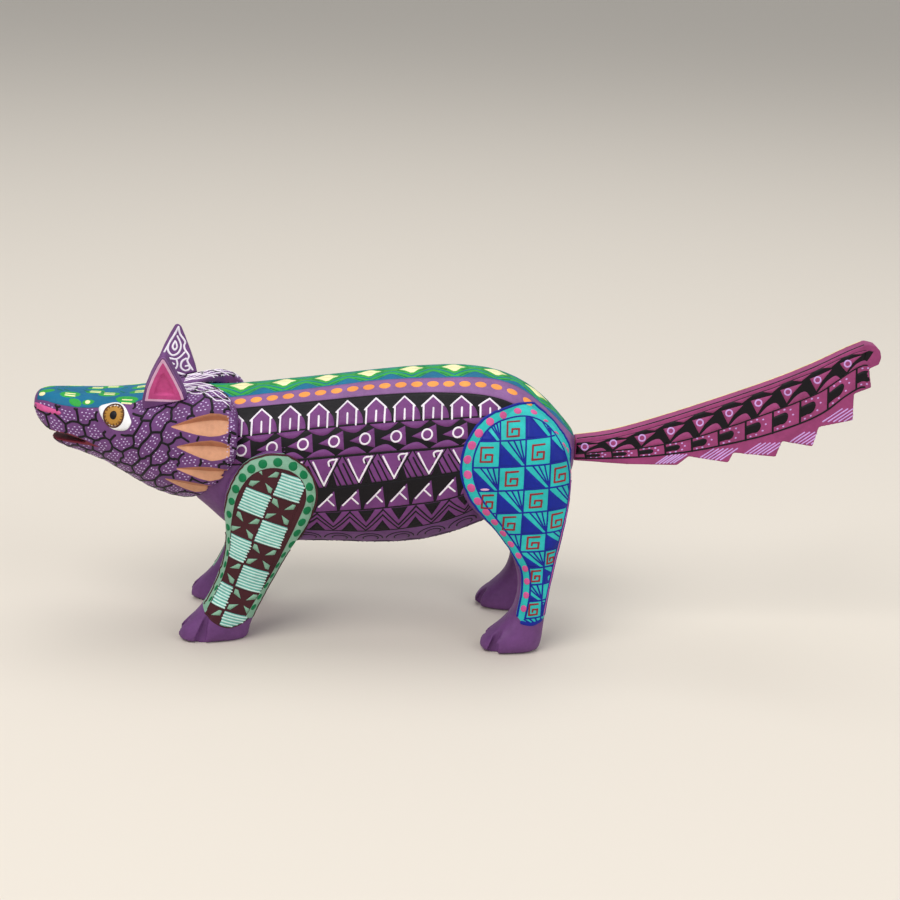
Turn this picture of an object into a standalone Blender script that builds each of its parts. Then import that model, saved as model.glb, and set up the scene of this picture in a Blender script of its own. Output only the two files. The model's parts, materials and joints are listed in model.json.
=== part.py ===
"""A carved and painted coyote figure, built the way its carver would build it.

The torso, the head and the four legs are separate carvings. The legs bed in pockets in the
torso's flanks on glued dowels, and the head's ruff slips over the neck on one thicker dowel.
The two ears and the tail are push-fit: each has a tenon that slides in a mortise.
The figure faces -X and stands on Z = 0, with its left side at -Y. The origin is at the
middle of the footprint of its bounding box. Every size below is in millimetres.
"""

import math

import bmesh
import bpy
from mathutils import Matrix, Vector

MM = 0.001

# Overall sizes that the stations below are laid out in.
NOSE_X = -150.0
TAIL_TIP_X = 150.0

# Gaps that a glue line or a push fit leaves.
GLUE_GAP = 0.3
DOWEL_GAP = 0.15
TENON_GAP = 0.2

# Torso, neck end first: x, top, bottom, half width, height of the widest line, power of the
# upper and of the lower half of the section (2 is an ellipse, more is squarer), dip of the top.
TORSO = [
    (-93.0, 87.6, 47.2, 18.0, 68.0, 2.2, 2.1, 0.0),
    (-87.0, 87.7, 42.2, 19.6, 67.0, 2.2, 2.1, 0.0),
    (-80.0, 88.0, 36.2, 22.4, 65.0, 2.2, 2.1, 0.0),
    (-71.0, 89.0, 32.9, 25.0, 64.0, 2.2, 2.2, 0.0),
    (-58.0, 90.8, 32.0, 26.2, 64.0, 2.2, 2.2, 0.0),
    (-43.0, 93.0, 32.4, 26.6, 65.0, 2.2, 2.2, 0.0),
    (-27.0, 95.5, 32.4, 26.8, 66.0, 2.2, 2.2, 0.0),
    (-11.0, 97.5, 34.0, 26.6, 67.0, 2.2, 2.2, 0.0),
    (3.0, 98.1, 38.5, 26.0, 69.0, 2.2, 2.2, 0.0),
    (15.0, 96.4, 44.4, 24.6, 70.0, 2.2, 2.2, 0.0),
    (25.0, 92.0, 48.6, 22.2, 70.0, 2.2, 2.2, 0.0),
    (33.5, 85.2, 51.9, 18.2, 69.5, 2.2, 2.2, 0.0),
    (38.8, 79.3, 56.5, 13.2, 69.0, 2.3, 2.3, 0.0),
    (41.6, 75.9, 60.7, 8.6, 69.0, 2.5, 2.5, 0.0),
    (42.3, 74.4, 63.1, 5.6, 69.0, 2.6, 2.6, 0.0),
]

# Head, nose end first, with the same fields. The top is flat on the muzzle and dips between
# the two flaps of the ruff at the rear.
HEAD = [
    (NOSE_X, 82.2, 77.2, 4.2, 79.7, 2.4, 2.2, 0.0),
    (-149.0, 83.6, 74.4, 5.9, 79.2, 2.6, 2.2, 0.0),
    (-146.0, 84.4, 70.4, 7.6, 78.2, 2.9, 2.2, 0.0),
    (-142.0, 84.6, 65.0, 9.2, 76.7, 3.0, 2.2, 0.0),
    (-134.0, 84.5, 62.4, 11.4, 75.7, 3.1, 2.2, 0.0),
    (-125.0, 84.5, 59.2, 14.2, 74.7, 3.1, 2.2, 0.0),
    (-116.0, 85.0, 54.4, 17.8, 73.2, 3.1, 2.2, 0.0),
    (-108.0, 86.2, 50.2, 20.8, 71.7, 3.2, 2.2, 0.0),
    (-100.0, 88.2, 47.8, 23.2, 71.0, 3.4, 2.2, 0.3),
    (-93.0, 90.4, 47.6, 25.0, 71.2, 3.6, 2.2, 1.2),
    (-86.5, 92.0, 50.0, 26.4, 72.2, 3.6, 2.3, 2.6),
    (-81.0, 90.6, 55.0, 27.2, 73.2, 3.4, 2.4, 3.0),
    (-77.8, 87.2, 62.6, 27.3, 74.2, 3.0, 2.5, 3.0),
    (-76.8, 84.2, 67.0, 26.8, 74.7, 2.8, 2.6, 2.5),
]

# Legs, sole first: z, front x, back x, inner and outer distance from the middle plane, and how
# far the section turns the toes outwards, in degrees.
FRONT_LEG = [
    (0.0, -95.2, -72.8, 13.0, 25.4, 16.0),
    (1.2, -97.2, -71.8, 11.6, 27.0, 16.0),
    (4.5, -96.0, -71.4, 11.3, 27.4, 15.0),
    (9.0, -91.4, -69.8, 11.8, 27.0, 10.0),
    (15.0, -87.0, -67.2, 12.2, 26.4, 4.0),
    (23.6, -83.4, -63.0, 12.6, 26.0, 0.0),
    (33.4, -80.9, -58.0, 13.0, 26.6, 0.0),
    (42.4, -80.8, -52.6, 13.4, 27.4, 0.0),
    (50.4, -81.4, -49.0, 13.6, 27.8, 0.0),
    (58.5, -80.2, -47.8, 13.8, 28.0, 0.0),
    (65.0, -76.6, -50.4, 14.2, 27.6, 0.0),
    (69.6, -71.4, -56.0, 15.2, 26.6, 0.0),
    (71.6, -67.0, -61.0, 17.0, 25.2, 0.0),
]
HIND_LEG = [
    (0.0, 13.0, 31.4, 15.0, 27.4, 10.0),
    (1.2, 11.0, 32.6, 13.4, 29.2, 10.0),
    (4.5, 12.0, 33.2, 13.0, 29.6, 9.0),
    (9.0, 17.2, 33.5, 13.8, 28.8, 6.0),
    (15.0, 22.0, 34.0, 14.6, 28.0, 2.0),
    (24.0, 23.6, 35.1, 14.8, 27.4, 0.0),
    (34.6, 21.2, 36.8, 14.4, 27.6, 0.0),
    (44.5, 14.4, 38.6, 13.6, 28.2, 0.0),
    (53.5, 4.4, 39.9, 13.2, 28.8, 0.0),
    (61.6, 0.2, 40.4, 13.0, 28.9, 0.0),
    (69.6, -0.4, 39.8, 12.6, 28.2, 0.0),
    (77.7, 1.8, 37.0, 11.8, 26.2, 0.0),
    (84.8, 6.8, 30.4, 10.2, 20.6, 0.0),
    (88.2, 11.0, 25.0, 9.4, 16.2, 0.0),
    (89.4, 14.5, 20.5, 9.6, 13.4, 0.0),
]
LIMB_POWER = 2.5

# V cuts between the toes: x and distance from the middle plane, first where each cut is
# widest, just under the sole, and then where it runs out on the instep.
FRONT_TOE_CUTS = [((-97.6, 20.6), (-90.2, 20.1)), ((-89.5, 28.6), (-84.9, 25.2))]
HIND_TOE_CUTS = [((11.0, 19.0), (16.8, 18.9)), ((14.6, 28.6), (19.2, 25.0))]
TOE_CUT_RADIUS = 3.4
TOE_CUT_FOOT_Z = -2.0
TOE_CUT_TIP_Z = 15.0

# Dowels: each leg has two, along Y, and the neck has one, along X.
DOWEL_RADIUS = 2.5
DOWEL_INNER = 6.5
DOWEL_OUTER = 21.5
FRONT_DOWELS = {"upper": (-65.0, 61.5), "lower": (-66.0, 47.5)}
HIND_DOWELS = {"upper": (19.0, 75.5), "lower": (23.0, 57.5)}
NECK_DOWEL_RADIUS = 4.5
NECK_DOWEL_SPAN = (-109.0, -78.0)
NECK_DOWEL_Z = 67.0
HOLE_SLACK = 0.5

# Carved details of the head: the mouth, the notch behind the crown and the ruff's gouges.
MOUTH = [(-152.0, 72.2), (-152.0, 67.9), (-142.0, 67.7), (-127.6, 67.9), (-137.0, 70.2)]
CROWN_NOTCH_X = -93.0
CROWN_NOTCH_SLOPE = 1.1
CROWN_NOTCH_BOTTOM = 72.0
CROWN_NOTCH_SPAN = 30.0
MOUTH_HALF_WIDTH = 30.0
# Each gouge in the ruff: its fore tip, its widest place and its rear end as x and z, and half
# its height at the last two. Its crease lies above the middle.
GOUGES = [
    ((-99.8, 78.4), (-86.0, 80.2), (-79.6, 80.8), 3.8, 2.6),
    ((-97.8, 71.6), (-85.4, 71.2), (-79.0, 71.6), 3.6, 2.0),
    ((-98.0, 63.4), (-86.0, 62.0), (-80.0, 62.4), 2.9, 1.5),
    ((-102.2, 58.6), (-91.6, 55.6), (-84.8, 55.4), 2.3, 0.9),
]
GOUGE_DEPTH = 2.4
GOUGE_CREASE_RISE = 0.4
# Half heights of a gouge: at its fore tip, in shares of the widest at one and two thirds of the
# way there, and how much fuller than straight it runs from the widest place to its end.
GOUGE_TIP = 0.15
GOUGE_SHARES = (0.42, 0.78)
GOUGE_FULLNESS = 1.12
# How far a gouge's cutter stands out of the skin at its edges and at its middle.
GOUGE_EDGE_PROUD = 0.1
GOUGE_MIDDLE_PROUD = 5.0

# Ears: outline in the ear's own plane, from its foot, and where the foot stands.
EAR_OUTLINE = [
    (-7.8, -9.0),
    (-7.8, 0.0),
    (-6.6, 5.0),
    (-4.6, 10.4),
    (-2.4, 15.2),
    (-0.9, 17.9),
    (0.1, 18.5),
    (1.2, 17.6),
    (2.6, 14.6),
    (4.8, 9.4),
    (6.8, 4.2),
    (8.0, -0.2),
    (8.0, -9.0),
]
EAR_FOOT = (-102.4, 16.8, 87.0)
EAR_LEAN = 20.0
EAR_THICKNESS = 3.8
EAR_TENON = (7.0, 2.4, 9.0)
EAR_TENON_OVERLAP = 2.0
EAR_EDGE_ROUND = 0.8
EAR_HOLLOW_DEPTH = 0.7
# The hollow's rim in shares of the ear's outline, how far up it starts, and how much smaller
# its floor is, about a point this far up.
EAR_HOLLOW_WIDTH = 0.72
EAR_HOLLOW_HEIGHT = 0.8
EAR_HOLLOW_START = 1.2
EAR_HOLLOW_FLOOR = 0.55
EAR_HOLLOW_CENTRE = 5.0
EAR_HOLLOW_CUTTER = 2.0

# Tail: upper edge and teeth of the lower edge, root first, each tooth as its tip and the notch
# behind it.
TAIL_TOP = [
    (42.6, 73.8),
    (56.0, 76.2),
    (72.0, 81.4),
    (92.0, 88.9),
    (112.0, 96.9),
    (126.0, 103.4),
    (138.0, 109.9),
    (144.2, 112.8),
]
TAIL_TIP_RADIUS = 5.0
TAIL_TEETH = [
    ((80.2, 65.2), (84.0, 68.6)),
    ((98.6, 66.8), (100.2, 70.6)),
    ((115.6, 69.6), (117.4, 75.6)),
    ((128.6, 74.0), (130.2, 81.4)),
    ((142.2, 84.4), (141.6, 94.2)),
    ((147.6, 96.8), (146.0, 103.6)),
]
TAIL_ROOT_BOTTOM = (42.6, 65.6)
TAIL_BELLY = (62.0, 64.8)
# The round tip's corners, in degrees above level.
TAIL_TIP_ANGLES = (60.0, 30.0, 0.0, -30.0)
TAIL_THICKNESS = 6.4
TAIL_EDGE_ROUND = 0.9
TAIL_TENON = (14.0, 4.0, 5.4)
TAIL_TENON_Z = 69.6
TAIL_TENON_OVERLAP = 4.0

RING_POINTS = 32
HEAD_RING_POINTS = 36
LIMB_RING_POINTS = 20
STEPS = 2

COLOURS = {
    "painted_purple": (0.20, 0.06, 0.29),
    "painted_teal": (0.05, 0.42, 0.46),
    "painted_mint": (0.30, 0.56, 0.44),
    "painted_plum": (0.34, 0.05, 0.20),
    "bare_copal": (0.74, 0.58, 0.38),
}


def clear_scene():
    for obj in list(bpy.data.objects):
        bpy.data.objects.remove(obj)


def new_collection(name):
    made = bpy.data.collections.new(name)
    bpy.context.scene.collection.children.link(made)
    return made


def paint(name):
    """The material of this name, made on first use."""
    made = bpy.data.materials.get(name)
    if made is None:
        made = bpy.data.materials.new(name)
        made.use_nodes = True
        shader = made.node_tree.nodes["Principled BSDF"]
        shader.inputs["Base Color"].default_value = (*COLOURS[name], 1.0)
        shader.inputs["Roughness"].default_value = 0.55
        shader.inputs["Metallic"].default_value = 0.0
    return made


def object_from(mesh_builder, name, collection, material=None):
    """A new object from a bmesh whose coordinates are in millimetres."""
    bmesh.ops.recalc_face_normals(mesh_builder, faces=mesh_builder.faces)
    bmesh.ops.scale(mesh_builder, vec=(MM, MM, MM), verts=mesh_builder.verts)
    mesh = bpy.data.meshes.new(name)
    mesh_builder.to_mesh(mesh)
    mesh_builder.free()
    obj = bpy.data.objects.new(name, mesh)
    collection.objects.link(obj)
    if material:
        mesh.materials.append(paint(material))
        mesh.shade_smooth()
        mesh.set_sharp_from_angle(angle=math.radians(32.0))
    else:
        obj.hide_render = True
        obj.display_type = "WIRE"
    return obj


def between(a, b, c, d, t):
    """Catmull-Rom point at t from b to c, for numbers or tuples field by field."""
    return tuple(
        0.5
        * (
            2 * q
            + (r - p) * t
            + (2 * p - 5 * q + 4 * r - s) * t * t
            + (3 * q - p - 3 * r + s) * t**3
        )
        for p, q, r, s in zip(a, b, c, d)
    )


def refined(stations, steps):
    """The stations with steps - 1 smooth ones put between each two."""
    made = []
    last = len(stations) - 1
    for i in range(last):
        before = stations[max(i - 1, 0)]
        after = stations[min(i + 2, last)]
        for step in range(steps):
            made.append(between(before, stations[i], stations[i + 1], after, step / steps))
    made.append(stations[last])
    return made


def signed_power(value, power):
    return math.copysign(abs(value) ** (2.0 / power), value)


def upright_ring(station, grow, count):
    """A section of the torso or head, in a plane across X."""
    x, top, bottom, half_width, widest, top_power, bottom_power, dip = station
    ring = []
    for i in range(count):
        angle = 2 * math.pi * i / count
        power = top_power if math.sin(angle) > 0 else bottom_power
        across = signed_power(math.cos(angle), power)
        up = signed_power(math.sin(angle), power)
        rise = top + grow - widest if up > 0 else widest - bottom + grow
        sink = dip * (1 - across * across) * max(up, 0.0)
        ring.append((x, (half_width + grow) * across, widest + rise * up - sink))
    return ring


def level_ring(station, side, grow, count):
    """A section of a leg, in a level plane. side is -1 for left and 1 for right."""
    z, front, back, inner, outer, turn = station
    centre = Vector(((front + back) / 2, side * (inner + outer) / 2, z))
    spin = Matrix.Rotation(math.radians(-side * turn), 3, "Z")
    ring = []
    for i in range(count):
        angle = 2 * math.pi * i / count
        along = ((back - front) / 2 + grow) * signed_power(math.cos(angle), LIMB_POWER)
        across = ((outer - inner) / 2 + grow) * signed_power(math.sin(angle), LIMB_POWER)
        ring.append(centre + spin @ Vector((along, across, 0.0)))
    return ring


def loft(rings, name, collection, material=None):
    """A closed solid through rings of equal length, with flat ends."""
    made = bmesh.new()
    rows = [[made.verts.new(point) for point in ring] for ring in rings]
    count = len(rows[0])
    for low, high in zip(rows, rows[1:]):
        for i in range(count):
            j = (i + 1) % count
            made.faces.new((low[i], low[j], high[j], high[i]))
    made.faces.new(rows[0])
    made.faces.new(rows[-1])
    return object_from(made, name, collection, material)


def lengthened(rings, grow, axis):
    """The rings with each end moved outwards by grow along an axis, 0 for X and 2 for Z."""
    made = [[Vector(point) for point in ring] for ring in rings]
    outwards = 1 if made[-1][0][axis] > made[0][0][axis] else -1
    for end, direction in ((0, -outwards), (-1, outwards)):
        for point in made[end]:
            point[axis] += direction * grow
    return made


def trunk(stations, count, name, collection, material=None, grow=0.0):
    rings = [upright_ring(s, grow, count) for s in refined(stations, STEPS)]
    return loft(lengthened(rings, grow, 0), name, collection, material)


def limb(stations, side, name, collection, material=None, grow=0.0):
    rings = [level_ring(s, side, grow, LIMB_RING_POINTS) for s in refined(stations, STEPS)]
    return loft(lengthened(rings, grow, 2), name, collection, material)


def rod(centre, axis, radius, length, name, collection, material=None, chamfer=0.0):
    """A cylinder about an axis of "X" or "Y", with bevelled rims if chamfer is given."""
    made = bmesh.new()
    turn = Matrix.Rotation(math.pi / 2, 4, "Y" if axis == "X" else "X")
    bmesh.ops.create_cone(
        made,
        cap_ends=True,
        segments=16,
        radius1=radius,
        radius2=radius,
        depth=length,
        matrix=Matrix.Translation(centre) @ turn,
    )
    if chamfer:
        rims = [e for e in made.edges if len(e.link_faces[0].verts) != len(e.link_faces[1].verts)]
        bmesh.ops.bevel(made, geom=rims, offset=chamfer, segments=1, affect="EDGES")
    return object_from(made, name, collection, material)


def block(low, high, name, collection, placed=None):
    """A box between two corners, optionally moved by a matrix."""
    made = bmesh.new()
    size = Vector(high) - Vector(low)
    middle = (Vector(high) + Vector(low)) / 2
    stretch = Matrix.Diagonal((*size, 1.0))
    bmesh.ops.create_cube(made, size=1.0, matrix=Matrix.Translation(middle) @ stretch)
    if placed is not None:
        bmesh.ops.transform(made, matrix=placed, verts=made.verts)
    return object_from(made, name, collection)


def pyramid(tip, end, radius, name, collection):
    """A four-sided cutter from a sharp tip to a wide end."""
    axis = Vector(end) - Vector(tip)
    made = bmesh.new()
    bmesh.ops.create_cone(
        made, cap_ends=True, segments=4, radius1=radius, radius2=0.0, depth=axis.length
    )
    aim = (-axis).to_track_quat("Z", "Y").to_matrix().to_4x4()
    middle = Matrix.Translation((Vector(tip) + Vector(end)) / 2)
    bmesh.ops.transform(made, matrix=middle @ aim, verts=made.verts)
    return object_from(made, name, collection)


def plate(outline, half_thickness, name, collection, axis="Y"):
    """A flat outline, filled and thickened. Its points are (x, z) for axis Y, (x, y) for Z."""
    curve = bpy.data.curves.new(name, "CURVE")
    curve.dimensions = "2D"
    curve.fill_mode = "BOTH"
    curve.extrude = half_thickness * MM
    spline = curve.splines.new("POLY")
    spline.points.add(len(outline) - 1)
    for point, (u, v) in zip(spline.points, outline):
        point.co = (u * MM, v * MM, 0.0, 1.0)
    spline.use_cyclic_u = True
    drawn = bpy.data.objects.new(name + "_outline", curve)
    collection.objects.link(drawn)
    if axis == "Y":
        drawn.rotation_euler = (math.pi / 2, 0.0, 0.0)
    bpy.context.view_layer.update()
    graph = bpy.context.evaluated_depsgraph_get()
    mesh = bpy.data.meshes.new_from_object(drawn.evaluated_get(graph))
    mesh.transform(drawn.matrix_world)
    bpy.data.objects.remove(drawn)
    made = bmesh.new()
    made.from_mesh(mesh)
    bpy.data.meshes.remove(mesh)
    bmesh.ops.remove_doubles(made, verts=made.verts, dist=1e-6)
    bmesh.ops.scale(made, vec=(1 / MM, 1 / MM, 1 / MM), verts=made.verts)
    return object_from(made, name, collection)


def carve(obj, cutter, operation="DIFFERENCE"):
    """A Boolean left on the object as a modifier."""
    modifier = obj.modifiers.new(cutter.name, "BOOLEAN")
    modifier.operation = operation
    modifier.solver = "EXACT"
    modifier.object = cutter


def settled(obj, name, collection, material, origin=(0.0, 0.0, 0.0)):
    """The object with its modifiers applied, as a new part with its origin at a point."""
    bpy.context.view_layer.update()
    graph = bpy.context.evaluated_depsgraph_get()
    mesh = bpy.data.meshes.new_from_object(obj.evaluated_get(graph))
    mesh.materials.clear()
    mesh.materials.append(paint(material))
    mesh.shade_smooth()
    mesh.set_sharp_from_angle(angle=math.radians(32.0))
    mesh.transform(obj.matrix_world)
    place = Vector(origin) * MM
    mesh.transform(Matrix.Translation(-place))
    made = bpy.data.objects.new(name, mesh)
    made.location = place
    collection.objects.link(made)
    return made


def named_sides():
    return (("left", -1), ("right", 1))


def make_torso(parts, cutters):
    """The trunk, with four pockets for the legs, the dowel holes and the tail's mortise."""
    torso = trunk(TORSO, RING_POINTS, "torso", parts, "painted_purple")
    for word, side in named_sides():
        for end, stations, dowels in (
            ("front", FRONT_LEG, FRONT_DOWELS),
            ("hind", HIND_LEG, HIND_DOWELS),
        ):
            pocket = f"{word}_{end}_pocket"
            carve(torso, limb(stations, side, pocket, cutters, grow=GLUE_GAP))
            for place, (x, z) in dowels.items():
                carve(torso, dowel_hole(x, z, side, f"{word}_{end}_{place}_hole", cutters))
    carve(torso, neck_hole("torso_neck_hole", cutters))
    length, thickness, height = (v / 2 + TENON_GAP for v in TAIL_TENON)
    middle = TORSO[-1][0] - TAIL_TENON[0] / 2 + 1.0
    mortise = block(
        (middle - length - 1.0, -thickness, TAIL_TENON_Z - height),
        (middle + length + 1.0, thickness, TAIL_TENON_Z + height),
        "tail_mortise",
        cutters,
    )
    carve(torso, mortise)
    return torso


def dowel_hole(x, z, side, name, cutters):
    middle = (DOWEL_INNER + DOWEL_OUTER) / 2
    length = DOWEL_OUTER - DOWEL_INNER + 2 * HOLE_SLACK
    return rod((x, side * middle, z), "Y", DOWEL_RADIUS + DOWEL_GAP, length, name, cutters)


def neck_hole(name, cutters):
    low, high = NECK_DOWEL_SPAN
    centre = ((low + high) / 2, 0.0, NECK_DOWEL_Z)
    length = high - low + 2 * HOLE_SLACK
    return rod(centre, "X", NECK_DOWEL_RADIUS + DOWEL_GAP, length, name, cutters)


def make_dowels(parts):
    for word, side in named_sides():
        for end, dowels in (("front", FRONT_DOWELS), ("hind", HIND_DOWELS)):
            for place, (x, z) in dowels.items():
                centre = (x, side * (DOWEL_INNER + DOWEL_OUTER) / 2, z)
                length = DOWEL_OUTER - DOWEL_INNER
                name = f"{word}_{end}_{place}_dowel"
                rod(centre, "Y", DOWEL_RADIUS, length, name, parts, "bare_copal", 0.5)
    low, high = NECK_DOWEL_SPAN
    centre = ((low + high) / 2, 0.0, NECK_DOWEL_Z)
    rod(centre, "X", NECK_DOWEL_RADIUS, high - low, "neck_dowel", parts, "bare_copal", 0.8)


def make_leg(stations, side, toe_cuts, dowels, name, material, parts, cutters):
    leg = limb(stations, side, name, parts, material)
    for i, ((foot_x, foot_out), (tip_x, tip_out)) in enumerate(toe_cuts):
        foot = (foot_x, side * foot_out, TOE_CUT_FOOT_Z)
        tip = (tip_x, side * tip_out, TOE_CUT_TIP_Z)
        cut = pyramid(tip, foot, TOE_CUT_RADIUS, f"{name}_toe_cut_{i}", cutters)
        carve(leg, cut)
    for place, (x, z) in dowels.items():
        carve(leg, dowel_hole(x, z, side, f"{name}_{place}_hole", cutters))
    return leg


def make_legs(parts, cutters):
    for word, side in named_sides():
        front = f"{word}_front_leg"
        hind = f"{word}_hind_leg"
        make_leg(
            FRONT_LEG, side, FRONT_TOE_CUTS, FRONT_DOWELS, front, "painted_mint", parts, cutters
        )
        make_leg(HIND_LEG, side, HIND_TOE_CUTS, HIND_DOWELS, hind, "painted_teal", parts, cutters)


def ear_place(side):
    """From the ear's own frame, in millimetres, to the figure's."""
    x, out, z = EAR_FOOT
    lean = Matrix.Rotation(math.radians(-side * EAR_LEAN), 4, "X")
    return Matrix.Translation((x, side * out, z)) @ lean


def ear_tenon(side, gap, name, cutters):
    width, thickness, length = EAR_TENON
    low = (-width / 2 - gap, -thickness / 2 - gap, -length - 2 * gap)
    high = (width / 2 + gap, thickness / 2 + gap, EAR_TENON_OVERLAP)
    return block(low, high, name, cutters, ear_place(side))


def make_head(parts, cutters):
    """The head, hollowed for the neck, with its mouth, gouges and the ears' mortises."""
    head = trunk(HEAD, HEAD_RING_POINTS, "head", parts, "painted_purple")
    carve(head, trunk(TORSO, RING_POINTS, "neck_recess", cutters, grow=GLUE_GAP))
    rear = CROWN_NOTCH_X + CROWN_NOTCH_SPAN
    half = CROWN_NOTCH_SPAN * CROWN_NOTCH_SLOPE
    wedge = [(CROWN_NOTCH_X, 0.0), (rear, -half), (rear, half)]
    notch = plate(wedge, CROWN_NOTCH_SPAN / 2, "crown_notch", cutters, axis="Z")
    notch.location.z = (CROWN_NOTCH_BOTTOM + CROWN_NOTCH_SPAN / 2) * MM
    carve(head, notch)
    carve(head, plate(MOUTH, MOUTH_HALF_WIDTH, "mouth_slot", cutters))
    carve(head, neck_hole("head_neck_hole", cutters))
    for word, side in named_sides():
        for i, gouge in enumerate(GOUGES):
            carve(head, gouge_cutter(gouge, side, f"{word}_gouge_{i}", cutters))
        carve(head, ear_tenon(side, TENON_GAP, f"{word}_ear_mortise", cutters))
    return head


def gouge_cutter(gouge, side, name, cutters):
    """A leaf-shaped V cut: four-cornered sections laid along the skin of the ruff."""
    (tip_x, tip_z), (wide_x, wide_z), (end_x, end_z), half, end_half = gouge
    first, second = GOUGE_SHARES
    full = (half + end_half) / 2 * GOUGE_FULLNESS
    sections = [
        (tip_x, tip_z, GOUGE_TIP),
        ((2 * tip_x + wide_x) / 3, (2 * tip_z + wide_z) / 3, half * first),
        ((tip_x + 2 * wide_x) / 3, (tip_z + 2 * wide_z) / 3, half * second),
        (wide_x, wide_z, half),
        ((wide_x + end_x) / 2, (wide_z + end_z) / 2, full),
        (end_x, end_z, end_half),
    ]
    rings = []
    for x, z, size in sections:
        skin = [surface_out(HEAD, x, z + lift) for lift in (size, 0.0, -size)]
        crease_z = z + size * GOUGE_CREASE_RISE
        crease = surface_out(HEAD, x, crease_z) - GOUGE_DEPTH * size / GOUGES[0][3]
        rings.append(
            [
                (x, side * (skin[0] + GOUGE_EDGE_PROUD), z + size),
                (x, side * (skin[1] + GOUGE_MIDDLE_PROUD), z),
                (x, side * (skin[2] + GOUGE_EDGE_PROUD), z - size),
                (x, side * crease, crease_z),
            ]
        )
    return loft(rings, name, cutters)


def surface_out(stations, x, z):
    """How far from the middle plane the skin of a trunk is at x and z."""
    for low, high in zip(stations, stations[1:]):
        if low[0] <= x <= high[0]:
            t = (x - low[0]) / (high[0] - low[0])
            _, top, bottom, half_width, widest, top_power, bottom_power, _ = (
                a + (b - a) * t for a, b in zip(low, high)
            )
            break
    rise, power = (top - widest, top_power) if z > widest else (widest - bottom, bottom_power)
    share = min(abs(z - widest) / rise, 1.0)
    return half_width * (1 - share**power) ** (1 / power)


def make_ear(side, name, parts, cutters):
    """A triangular plate, hollowed on its outer face, cut to sit on the head, with a tenon."""
    made = plate(EAR_OUTLINE, EAR_THICKNESS / 2, name + "_blank", cutters)
    rounding = made.modifiers.new("rounding", "BEVEL")
    rounding.width = EAR_EDGE_ROUND * MM
    rounding.segments = 2
    rounding.limit_method = "ANGLE"
    rounding.angle_limit = math.radians(50.0)
    rim = [(u * EAR_HOLLOW_WIDTH, EAR_HOLLOW_START + v * EAR_HOLLOW_HEIGHT) for u, v in EAR_OUTLINE[1:-1]]
    hollow = plate(rim, EAR_HOLLOW_CUTTER, name + "_hollow", cutters)
    out = EAR_THICKNESS / 2 + EAR_HOLLOW_CUTTER - EAR_HOLLOW_DEPTH
    hollow.data.transform(Matrix.Translation((0.0, side * out * MM, 0.0)))
    centre = EAR_HOLLOW_CENTRE * MM
    for vert in hollow.data.vertices:
        if vert.co.y * side < EAR_THICKNESS / 2 * MM:
            vert.co.x *= EAR_HOLLOW_FLOOR
            vert.co.z = centre + (vert.co.z - centre) * EAR_HOLLOW_FLOOR
    carve(made, hollow)
    placing = ear_place(side)
    placing.translation *= MM
    blank = settled(made, name + "_cut", cutters, "painted_purple")
    blank.hide_render = True
    blank.data.transform(placing)
    carve(blank, trunk(HEAD, HEAD_RING_POINTS, name + "_seat", cutters, grow=GLUE_GAP))
    carve(blank, ear_tenon(side, 0.0, name + "_tenon", cutters), "UNION")
    foot_x, foot_out, foot_z = EAR_FOOT
    return settled(blank, name, parts, "painted_purple", (foot_x, side * foot_out, foot_z))


def tail_outline():
    """The blade's outline: along the upper edge, round the tip and back along the teeth."""
    outline = [TAIL_ROOT_BOTTOM]
    outline += [(u, v) for u, v in refined(TAIL_TOP, 3)]
    middle = Vector((TAIL_TIP_X - TAIL_TIP_RADIUS, TAIL_TOP[-1][1] - TAIL_TIP_RADIUS))
    for degrees in TAIL_TIP_ANGLES:
        angle = math.radians(degrees)
        outline.append(
            (
                middle.x + TAIL_TIP_RADIUS * math.cos(angle),
                middle.y + TAIL_TIP_RADIUS * math.sin(angle),
            )
        )
    for tip, notch in reversed(TAIL_TEETH):
        outline.append(notch)
        outline.append(tip)
    outline.append(TAIL_BELLY)
    return outline


def make_tail(parts, cutters):
    """A flat blade with a toothed lower edge and a tenon at its root."""
    blade = plate(tail_outline(), TAIL_THICKNESS / 2, "tail_blade", cutters)
    rounding = blade.modifiers.new("rounding", "BEVEL")
    rounding.width = TAIL_EDGE_ROUND * MM
    rounding.segments = 2
    rounding.limit_method = "ANGLE"
    rounding.angle_limit = math.radians(60.0)
    length, thickness, height = TAIL_TENON
    root = TAIL_TOP[0][0]
    tenon = block(
        (root - length, -thickness / 2, TAIL_TENON_Z - height / 2),
        (root + TAIL_TENON_OVERLAP, thickness / 2, TAIL_TENON_Z + height / 2),
        "tail_tenon",
        cutters,
    )
    carve(blade, tenon, "UNION")
    return settled(blade, "tail", parts, "painted_plum", (root, 0.0, TAIL_TENON_Z))


def main():
    clear_scene()
    parts = new_collection("coyote")
    cutters = new_collection("cutters")
    make_torso(parts, cutters)
    make_dowels(parts)
    make_legs(parts, cutters)
    make_head(parts, cutters)
    for word, side in named_sides():
        make_ear(side, f"{word}_ear", parts, cutters)
    make_tail(parts, cutters)


main()
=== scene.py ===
"""Looks of the carved and painted coyote: smooth carved wood, and paint laid on it in layers.

Each CAD carving is replaced by a smooth copy of itself, which keeps its cuts sharp. The brushwork
over it, such as lines, dots and filled shapes, is thin raised geometry that follows the surface.
Motifs are laid out in charts: functions that turn two numbers, mostly in millimetres, into a place
on a surface. Lengths are in millimetres, and MM turns them into metres.
"""

import json
import math
import random

import bmesh
import bpy
import numpy as np
from mathutils import Matrix, Vector
from mathutils.bvhtree import BVHTree
from mathutils.geometry import convex_hull_2d, delaunay_2d_cdt
from mathutils.kdtree import KDTree


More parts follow.
